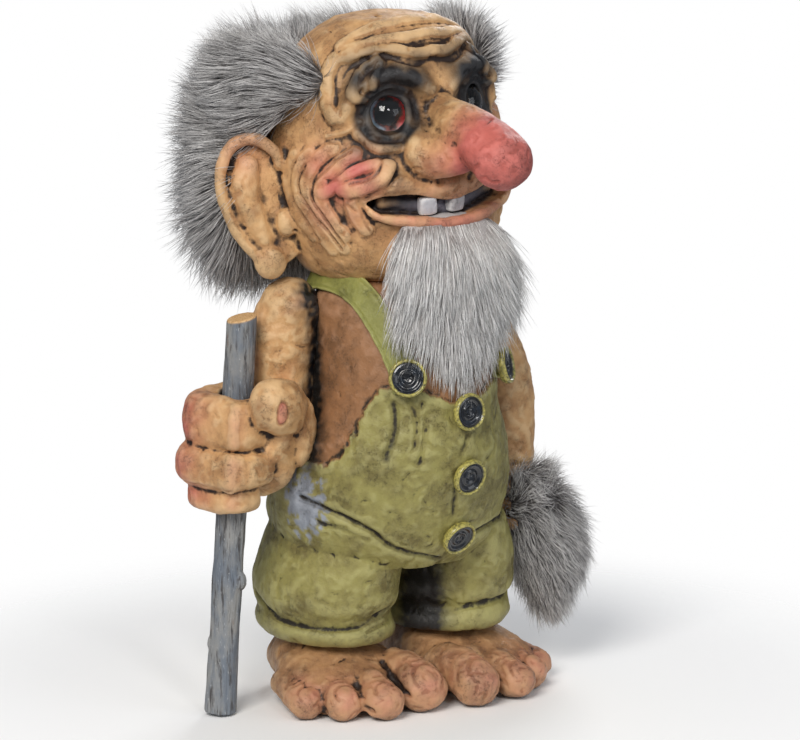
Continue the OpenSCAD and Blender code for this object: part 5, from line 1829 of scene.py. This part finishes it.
@dataclass(frozen=True)
class Iris:
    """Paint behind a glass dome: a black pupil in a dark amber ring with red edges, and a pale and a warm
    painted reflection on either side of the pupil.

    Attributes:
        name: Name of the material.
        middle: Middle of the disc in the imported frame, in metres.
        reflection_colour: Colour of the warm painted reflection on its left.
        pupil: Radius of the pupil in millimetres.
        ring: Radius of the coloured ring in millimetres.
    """

    name: str
    middle: tuple[float, float, float]
    reflection_colour: Colour
    pupil: float = 3.6
    ring: float = 7.6

    def material(self) -> Material:
        """Builds the material."""
        material, graph, shader = new_material(self.name)
        where = graph.add("ShaderNodeTexCoord").outputs["Object"]
        centred = graph.add("ShaderNodeMapping",
                            {"Vector": where, "Location": tuple(-v for v in self.middle)})
        length = graph.add("ShaderNodeVectorMath", {0: centred.outputs[0]},
                           operation="LENGTH").outputs["Value"]
        rays = graph.noise(1.6, 4, 0.7)
        wobble = graph.maths("MULTIPLY", graph.maths("SUBTRACT", rays, 0.5), 0.0014)
        d = graph.maths("DIVIDE", graph.maths("ADD", length, wobble), MM)
        amber = graph.mixed(graph.between(rays, 0.4, 0.62), srgb(34, 9, 6), srgb(120, 36, 14))
        tone = graph.mixed(graph.between(d, self.ring - 1.2, self.ring), amber, srgb(60, 6, 4))
        tone = graph.mixed(graph.between(d, self.ring, self.ring + 0.5), tone, srgb(5, 4, 5))
        tone = graph.mixed(graph.between(d, self.pupil + 0.4, self.pupil), tone, srgb(4, 3, 4))
        # Pale and warm painted reflections on either side of the pupil
        side = graph.add("ShaderNodeVectorMath", {0: centred.outputs[0], 1: (790.0, -620.0, 250.0)},
                         operation="DOT_PRODUCT").outputs["Value"]
        band = graph.maths("MULTIPLY", graph.between(d, 3.9, 4.7), graph.between(d, 7.0, 6.2))
        pale_reflection = graph.maths("MULTIPLY", band, graph.between(side, -1.0, -3.4, 0, 0.8))
        warm_reflection = graph.maths("MULTIPLY", band, graph.between(side, 1.4, 3.4, 0, 0.9))
        tone = graph.mixed(pale_reflection, tone, srgb(150, 176, 196))
        graph.feed(shader.inputs["Base Color"], graph.mixed(warm_reflection, tone, self.reflection_colour))
        shader.inputs["Roughness"].default_value = 0.3
        return material


# Fur

# Hairs in each piece, which keep it under 200,000 faces
HAIRS = 8800


def strand_mesh(name: str, bend: float) -> Object:
    """One hair a millimetre thick and a metre long, kept out of the scene for the trees to repeat.

    Args:
        name: Name of the hair's object.
        bend: How far its tip leans towards +X, as a share of its length.

    Returns:
        The object.
    """
    heights = [0, 0.32, 0.67]
    widths = [0.5, 0.55, 0.38]
    angles = angles_of(3)
    # Its width along the bend is scaled with its length, so it is drawn wider there
    rings = np.array([[[bend * h**2 + w * MM * 12 * math.cos(a), w * MM * math.sin(a),
                        h * (1 - 0.35 * abs(bend) * h)]
                       for a in angles] for h, w in zip(heights, widths)])
    shell = skin_over(rings, rings[0].mean(axis=0), np.array([bend, 0, 1 - 0.35 * abs(bend)]))
    mesh = mesh_of(name, shell.points, shell.faces)
    along = np.concatenate([[0], np.repeat(heights, 3), [1]])
    mesh.attributes.new("along", "FLOAT", "POINT").data.foreach_set("value", along.astype(np.float32))
    return bpy.data.objects.new(name, mesh)


class FurTree:
    """The Geometry Nodes tree that plants combed hairs on a pelt."""

    INPUTS = {"Geometry": "NodeSocketGeometry", "Density": "NodeSocketFloat", "Seed": "NodeSocketInt",
              "Width": "NodeSocketFloat", "Length Variation": "NodeSocketFloat", "Stray": "NodeSocketFloat",
              "Hairs": "NodeSocketCollection", "Material": "NodeSocketMaterial"}

    def __init__(self) -> None:
        """Builds the tree and the hairs that it repeats."""
        self.tree = tree = bpy.data.node_groups.new("combed_fur", "GeometryNodeTree")
        self.sockets = {key: tree.interface.new_socket(key, in_out="INPUT", socket_type=kind)
                        for key, kind in self.INPUTS.items()}
        tree.interface.new_socket("Geometry", in_out="OUTPUT", socket_type="NodeSocketGeometry")
        self.hairs = bpy.data.collections.new("hairs")
        for k, bend in enumerate((0.18, 0.34, 0.5, 0.42)):
            self.hairs.objects.link(strand_mesh(f"hair_{k}", bend))
        graph = Graph(tree)
        given = graph.add("NodeGroupInput").outputs

        def named(name: str, kind: str) -> NodeSocket:
            """A value painted on the pelt."""
            node = graph.add("GeometryNodeInputNamedAttribute", {"Name": name}, data_type=kind)
            return node.outputs[0]

        def random(low: object, high: object, shift: int, kind: str = "FLOAT") -> NodeSocket:
            """A seeded random value."""
            seed = graph.maths("ADD", given["Seed"], float(shift))
            node = graph.add("FunctionNodeRandomValue", data_type=kind)
            ends = {"FLOAT": (2, 3), "FLOAT_VECTOR": (0, 1)}[kind]
            graph.feed(node.inputs[ends[0]], low)
            graph.feed(node.inputs[ends[1]], high)
            graph.feed(node.inputs["Seed"], seed)
            return next(out for out in node.outputs if out.enabled)

        density = graph.maths("MULTIPLY", given["Density"], named("cover", "FLOAT"))
        points = graph.add("GeometryNodeDistributePointsOnFaces",
                           {"Mesh": given["Geometry"], "Density": density,
                                                                   "Seed": given["Seed"]})
        # Direction: the comb's, spread by a stray share of noise
        stray = random((-1, -1, -1), (1, 1, 1), 3, "FLOAT_VECTOR")
        spread = graph.add("ShaderNodeVectorMath", {0: stray, "Scale": given["Stray"]},
                           operation="SCALE").outputs[0]
        root = graph.add("ShaderNodeVectorMath", {0: named("root", "FLOAT_VECTOR"), 1: spread},
                         operation="ADD").outputs[0]
        upright = graph.add("FunctionNodeAlignRotationToVector", {"Vector": root}, axis="Z")
        turned = graph.add("FunctionNodeAlignRotationToVector",
                           {"Rotation": upright.outputs[0], "Vector": named("comb", "FLOAT_VECTOR")},
                           axis="X",
                           pivot_axis="Z")
        low = graph.maths("SUBTRACT", 1.0, given["Length Variation"])
        length = graph.maths("MULTIPLY", named("length", "FLOAT"), random(low, 1.0, 5))
        thick = graph.maths("MULTIPLY", given["Width"], random(0.65, 1.25, 6))
        # A hair is a metre long; its bend follows its length and its width its own scale
        scale = graph.add("ShaderNodeCombineXYZ", {0: length, 1: thick, 2: length}).outputs[0]
        kept = graph.add("GeometryNodeStoreNamedAttribute",
                         {"Geometry": points.outputs["Points"], "Name": "tone", "Value": random(0.0, 1.0, 9)},
                         data_type="FLOAT", domain="POINT")
        pick = graph.add("GeometryNodeCollectionInfo",
                         {"Collection": given["Hairs"], "Separate Children": True})
        copies = graph.add("GeometryNodeInstanceOnPoints",
                           {"Points": kept.outputs[0], "Instance": pick.outputs[0], "Pick Instance": True,
                            "Rotation": turned.outputs[0], "Scale": scale})
        real = graph.add("GeometryNodeRealizeInstances", {"Geometry": copies.outputs[0]})
        painted = graph.add("GeometryNodeSetMaterial",
                            {"Geometry": real.outputs[0], "Material": given["Material"]})
        graph.feed(graph.add("NodeGroupOutput").inputs[0], painted.outputs[0])

    def plant(self, name: str, pelt: Object, values: dict[str, object]) -> Object:
        """Grows hairs on a pelt.

        Args:
            name: Name of the piece.
            pelt: The mesh with its cover, root, comb and length.
            values: The tree's inputs by name.

        Returns:
            The hairs as a plain mesh.
        """
        thing = linked(name, pelt.data)
        modifier = thing.modifiers.new("fur", "NODES")
        modifier.node_group = self.tree
        for key, value in {"Hairs": self.hairs, **values}.items():
            modifier[self.sockets[key].identifier] = value
        mesh = evaluated(thing)
        mesh.name = name
        return linked(name, mesh)


@dataclass(frozen=True)
class Pelt:
    """A pelt: its name, how many pieces of hair it is shown as, and how the pile grows.

    Attributes:
        name: First part of its pieces' names.
        node: The CAD node that it stands for.
        slot: The record's material slot; it is not used.
        pieces: How many pieces the hairs are split in.
        hairs: Hairs in each piece.
        width: Thickness of a hair in millimetres.
        stray: How far hairs stray from the comb.
        seed: Seed of the first piece.
    """

    name: str
    node: str
    slot: str
    pieces: int
    hairs: int
    width: float
    stray: float
    seed: int

    def build(self, tree: FurTree, skin: Skin, cover: Array, root: Array, comb: Array,
              length: Array, fur: Material) -> list[Object]:
        """Grows the pelt.

        Args:
            tree: The tree that plants hairs.
            skin: The backing and underfur.
            cover: Where hairs grow, from 0 to 1.
            root: Direction of each hair at its root.
            comb: Direction that the hairs lean to.
            length: Length of the hairs in millimetres.
            fur: Material of the hairs.

        Returns:
            The pieces.
        """
        n = len(skin.points)
        # The underfur takes the dark tone near the roots, which also paints the shade under the pile
        skin.paint = {"along": np.full(n, 0.12), "tone": 0.35 + 0.3 * skin.lumps(2.2, 3)}
        under = skin.piece(f"{self.name}_underfur")
        p = skin.points[skin.quads]
        area = 0.5 * np.linalg.norm(np.cross(p[:, 2] - p[:, 0], p[:, 3] - p[:, 1]), axis=1)
        covered = float((area * cover[skin.quads].mean(axis=1)).sum()) * MM**2
        mesh = under.data
        for key, values, kind in (("cover", cover, "FLOAT"), ("length", length * MM, "FLOAT"),
                                  ("root", root, "FLOAT_VECTOR"), ("comb", comb, "FLOAT_VECTOR")):
            field_name = "value" if kind == "FLOAT" else "vector"
            layer = mesh.attributes.new(key, kind, "POINT")
            layer.data.foreach_set(field_name, np.ravel(values).astype(np.float32))
        values = {"Density": self.hairs / covered, "Width": self.width, "Length Variation": 0.5,
                  "Stray": self.stray, "Material": fur}
        parts = [tree.plant(f"{self.name}_pile_{k + 1}", under, {**values, "Seed": self.seed + k})
                 for k in range(self.pieces)]
        for part in parts:
            part.data.materials.clear()
            fit(part, fur, (self.node,))
        return [fit(under, fur, (self.node,)), *parts]


def unit(v: Array) -> Array:
    """Rows scaled to length 1."""
    return v / np.maximum(np.linalg.norm(v, axis=1), 1e-9)[:, None]


def along_surface(directions: Array, normals: Array) -> Array:
    """The part of directions that lies in the surface, as unit rows."""
    return unit(directions - normals * (directions * normals).sum(axis=1)[:, None])


class Furs:
    """All the fur: hair, beard and the tail's tuft."""

    def __init__(self, head: Head, tree: FurTree) -> None:
        """Takes the head that the pelts lie on and the tree that plants their hairs."""
        self.head = head
        self.tree = tree

    def hair(self, fur: Material) -> list[Object]:
        """Grows the hair: a ruff round the sides and back of the head that streams away from the face."""
        back = limb([[-68, 30, 4, 35, 13], [-56, 44, -1, 51, 19], [-20, 55, -4, 56, 21], [20, 55, -4, 56, 21],
                     [56, 44, 0, 49, 19], [68, 30, 5, 33, 13]], wide=(0, 0, 1), sides=40)
        temples = [limb([[s * 50, -22, 38, 7, 3.5], [s * 58, -6, 38, 15, 8], [s * 64, 16, 32, 22, 14]],
                        wide=(0, 0, 1), sides=28) for s in (-1, 1)]
        crown = limb([[-44, 33, 38, 14, 8], [0, 43, 39, 15, 8], [44, 33, 35, 14, 8]], wide=(0, 1, 0.4),
                     sides=28)
        skin = Skin([back, *temples, crown], 2.2, rounds=4)
        skin.knead(2.9, 2.0)
        p, normals = skin.points, skin.normals()
        facing = (normals * unit(p)).sum(axis=1)
        cover = ease(self.head.outside(p), 0.98, 1.06) * ease(facing, -0.45, -0.1) * ease(p[:, 2], -74, -62)
        source = np.stack([np.sign(p[:, 0]) * 40, np.full(len(p), -34.0), np.full(len(p), 4.0)], axis=1)
        stream = unit(p - source)
        stream[:, 2] += 0.1 * ease(p[:, 2], 0, 45) - 0.75 * (1 - ease(p[:, 2], -50, 5))
        stream[:, 0] += np.sign(p[:, 0]) * 0.8 * ease(-p[:, 1], -30, 10)
        stream[:, 2] -= 0.6 * ease(np.abs(p[:, 0]), 20, 50) * ease(-p[:, 1], -30, 10)
        swirl, locks = skin.drift(24, 1.0), skin.drift(7, 4.0)
        comb = along_surface(stream + 0.55 * swirl + 0.45 * locks, normals)
        root = unit(0.62 * normals + 0.72 * comb + 0.12 * locks)
        length = 25 + 5 * skin.lumps(12, 7) + 13 * ease(-p[:, 2], -10, 40) - 9 * ease(p[:, 1], 45, 70)
        length *= 1 - 0.15 * near(p, [0, -22, 40], [200, 16, 40])
        matrix = turn_matrix(self.head.sizes.roll, 1).T
        skin.points = self.head.placed(p)
        pelt = Pelt("hair", "hair_pelt", "grey_fur", 5, HAIRS, 0.30, 0.20, 101)
        return pelt.build(self.tree, skin, cover, root @ matrix, comb @ matrix, length, fur)

    def beard(self, fur: Material) -> list[Object]:
        """Grows the beard: long straight hair that falls from under the lip."""
        front = self.head.spot(0, -28, bare=True)[1] - 3
        body = limb([[0, front + 2, 241, 29, 7], [0, front - 1, 228, 32, 10], [0, front - 1, 206, 29, 10],
                     [0, front - 5, 188, 19, 8], [0, front - 8, 172, 8, 4]], sides=36)
        skin = Skin([body], 1.6, rounds=3)
        skin.knead(5.9, 1.2)
        p, normals = skin.points, skin.normals()
        cover = ease(-normals[:, 1], -0.35, 0.05) * (0.35 + 0.65 * ease(p[:, 2], 196, 214))
        locks = skin.drift(6, 1.4)
        fan = p[:, :1] / 34
        down = np.hstack([fan * 0.55, np.full_like(fan, -0.12), np.full_like(fan, -1.0)])
        comb = unit(down + 0.28 * locks)
        root = unit(0.42 * normals + 0.95 * comb)
        length = (30 + 5 * skin.lumps(7, 3)) * (0.62 + 0.38 * ease(p[:, 2], 170, 205))
        pelt = Pelt("beard", "beard_pelt", "white_fur", 1, HAIRS, 0.30, 0.11, 201)
        return pelt.build(self.tree, skin, cover, root, comb, length, fur)

    def tuft(self, end: Array, fur: Material) -> list[Object]:
        """Grows the ball of fur at the end of the tail."""
        x, y, z = end
        body = limb([[x - 5, y - 8, z + 19, 12, 11], [x + 1, y - 8, z + 6, 17, 15],
                     [x + 8, y - 9, z - 14, 18, 16],
                     [x + 9, y - 9, z - 36, 9, 9]], sides=32)
        skin = Skin([body], 1.6, rounds=3)
        skin.knead(7.2, 1.6)
        p, normals = skin.points, skin.normals()
        middle = np.array([x + 4, y, z + 4])
        stream = unit(p - middle)
        locks = skin.drift(7, 1.1)
        comb = along_surface(stream + [0.3, -0.1, -0.35] + 0.6 * locks, normals)
        root = unit(0.75 * normals + 0.6 * comb + 0.15 * locks)
        cover = ease(p[:, 2], z - 52, z - 46)
        length = 17 + 3 * skin.lumps(6, 9)
        pelt = Pelt("tail_tuft", "tail_tuft", "grey_fur", 1, HAIRS, 0.28, 0.24, 301)
        return pelt.build(self.tree, skin, cover, root, comb, length, fur)


# Studio

# The photo's view: bearing and rise in degrees, lens, the place aimed at, distance in metres
PHOTO_TURN, PHOTO_RISE, PHOTO_LENS = -38, 10, 135
PHOTO_AIM = np.array([10.6, -8.3, 163.0])
PHOTO_DISTANCE = 1.5
# How far the floor lies under the soles, in metres
FLOOR_GAP = 0.0004


def lamp(name: str, place: Row, aim: Row, size: float, power: float,
         tint: Row = (1, 1, 1)) -> None:
    """Adds a square softbox.

    Args:
        name: Name of the lamp.
        place: Its place in metres.
        aim: The point that it faces.
        size: Length of its sides.
        power: Its power in watts.
        tint: Its colour.
    """
    data = bpy.data.lights.new(name, "AREA")
    data.shape, data.size, data.energy, data.color = "SQUARE", size, power, tint
    thing = bpy.data.objects.new(name, data)
    thing.location = place
    thing.rotation_euler = (Vector(aim) - Vector(place)).to_track_quat("-Z", "Y").to_euler()
    bpy.context.scene.collection.objects.link(thing)


def studio() -> None:
    """Sets a pale floor, a white backdrop, softboxes and the camera."""
    scene = bpy.context.scene
    scene.view_settings.view_transform = "Standard"
    corners = np.array([[-1, -1, 0], [1, -1, 0], [1, 1, 0], [-1, 1, 0]]) - [0, 0, FLOOR_GAP]
    floor = linked("floor", mesh_of("floor", corners, [(0, 1, 2, 3)]))
    paper, graph, shader = new_material("floor_paper")
    away = graph.add("ShaderNodeVectorMath", {0: graph.add("ShaderNodeTexCoord").outputs["Object"]},
                     operation="LENGTH").outputs["Value"]
    graph.fill(shader, {"Alpha": graph.between(away, 0.16, 0.34, 1.0, 0.0),
                        "Base Color": srgb(252, 252, 251), "Roughness": 0.9})
    floor.data.materials.append(paper)
    world = bpy.data.worlds.new("studio")
    world.use_nodes = True
    graph = Graph(world.node_tree)
    background = world.node_tree.nodes["Background"]
    seen = graph.add("ShaderNodeLightPath").outputs["Is Camera Ray"]
    graph.fill(background, {"Color": graph.mixed(seen, srgb(205, 210, 220), (1, 1, 1, 1)),
                            "Strength": graph.between(seen, 0, 1, 0.38, 1.0)})
    scene.world = world
    aim = (0, 0, 0.17)
    lamp("key", (-1.15, -0.75, 1.05), aim, 0.7, 21, (1, 0.97, 0.93))
    lamp("fill", (0.55, -1.5, 0.5), aim, 0.9, 4, (0.95, 0.97, 1))
    lamp("rim", (1.0, 0.7, 0.9), aim, 0.6, 8)
    lamp("eye_light", (-0.35, -1.0, 0.75), (0, 0, 0.3), 0.16, 1.6)
    azimuth, elevation = math.radians(PHOTO_TURN), math.radians(PHOTO_RISE)
    back = Vector((math.sin(azimuth) * math.cos(elevation), -math.cos(azimuth) * math.cos(elevation),
                   math.sin(elevation)))
    camera = bpy.data.cameras.new("camera")
    camera.lens, camera.sensor_width, camera.clip_end = PHOTO_LENS, 36, 50
    thing = bpy.data.objects.new("camera", camera)
    thing.location = Vector(to_packed(PHOTO_AIM)) + back * PHOTO_DISTANCE
    thing.rotation_euler = (-back).to_track_quat("-Z", "Y").to_euler()
    scene.collection.objects.link(thing)
    scene.camera = thing


def middle_of(node: str) -> tuple[float, float, float]:
    """Middle of a CAD node's box in metres."""
    low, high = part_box(node)
    return tuple((a + b) / 2 for a, b in zip(low, high))


def repaint(node: str, material: Material) -> None:
    """Gives a CAD node that is shown as it is a material of its own.

    Args:
        node: Name of the node.
        material: The only material that it keeps.
    """
    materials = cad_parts[node].data.materials
    materials.clear()
    materials.append(material)


def main() -> None:
    """Builds the figure piece by piece, then the studio."""
    logging.basicConfig(level=logging.INFO, format="%(message)s")
    hand_paint_group()
    skin_paint, feet_paint, cloth_paint = SKIN.material(), FEET.material(), CLOTH.material()
    brace_paint, tail_paint = BRACE.material(), TAIL.material()
    bark = Bark().material()
    button_gloss = Gloss("button_gloss_paint", srgb(10, 12, 16), srgb(28, 36, 46)).material()
    tooth_paint = TOOTH.material()
    grey = Fur("grey_pile", srgb(78, 74, 73), srgb(154, 151, 150), srgb(232, 230, 228)).material()
    white = Fur("white_pile", srgb(164, 159, 157), srgb(234, 231, 228), srgb(253, 253, 251)).material()
    glass = plain_glass("clear_glass")
    foam = foam_fill("foam_fill")

    torso = Torso(TorsoSizes())
    fit(torso.build().piece("body_skin", BODY_KEEP), cloth_paint, ("torso_casting",))
    head = Head(HeadSizes())
    fit(head.build().piece("head_skin", HEAD_KEEP), skin_paint, ("head_casting",))
    fit(head.tooth(-13).piece("right_tooth_peg"), tooth_paint, ("right_tooth",))
    fit(head.tooth(3.2).piece("left_tooth_peg"), tooth_paint, ("left_tooth",))

    foot = Foot(FootSizes())
    for side in Side:
        word = side.name.lower()
        turn = torso.sizes.stance + (foot.sizes.splay if side is Side.LEFT else 0)
        skin = foot.build(side, torso.leg_spot(side.value), turn)
        fit(skin.piece(f"{word}_foot_skin"), feet_paint, (f"{word}_foot",))

    staff = Staff(StaffSizes())
    fit(staff.build().piece("staff_twig", STAFF_KEEP), bark, ("staff",), STAFF_BODY)
    fit(RightFist(staff).build().piece("right_fist_skin"), skin_paint, ("right_fist",))
    arms, tail_hand = Arms(torso, staff), TailHand()
    fit(arms.right().piece("right_arm_skin"), skin_paint, ("right_arm",))
    fit(arms.left(tail_hand.SPOT).piece("left_arm_skin"), skin_paint, ("left_arm",))
    fit(tail_hand.hand().piece("left_hand_skin"), skin_paint, ("left_hand",))
    fit(tail_hand.tail().piece("tail_skin"), tail_paint, ("tail",))

    braces = Braces(torso)
    for side in Side:
        word = side.name.lower()
        fit(braces.build(side).piece(f"{word}_brace_strap"), brace_paint, (f"{word}_brace",))
    button = Button(ButtonSizes(), torso)
    for name, turn, z, lift, tilt in BUTTONS:
        piece = button.build(f"{name}_cup", turn, z, torso.sizes.cloth + lift, tilt)
        fit(piece, button_gloss, (name,))

    for side in Side:
        word = side.name.lower()
        repaint(f"{word}_eye", glass)
        x, y, z = middle_of(f"{word}_iris")
        # Colour of the warm painted reflection in each eye
        reflection_colour = srgb(206, 40, 34) if side is Side.RIGHT else srgb(236, 150, 44)
        iris = Iris(f"{word}_iris_paint", (x + 0.7 * MM, y - 0.6 * MM, z), reflection_colour).material()
        repaint(f"{word}_iris", iris)
    for node in ("torso_core", "head_core"):
        repaint(node, foam)

    furs = Furs(head, FurTree())
    furs.hair(grey)
    furs.beard(white)
    furs.tuft(tail_hand.SPOT + [7, -1, -14], grey)
    studio()


if __name__ == "__main__":
    main()
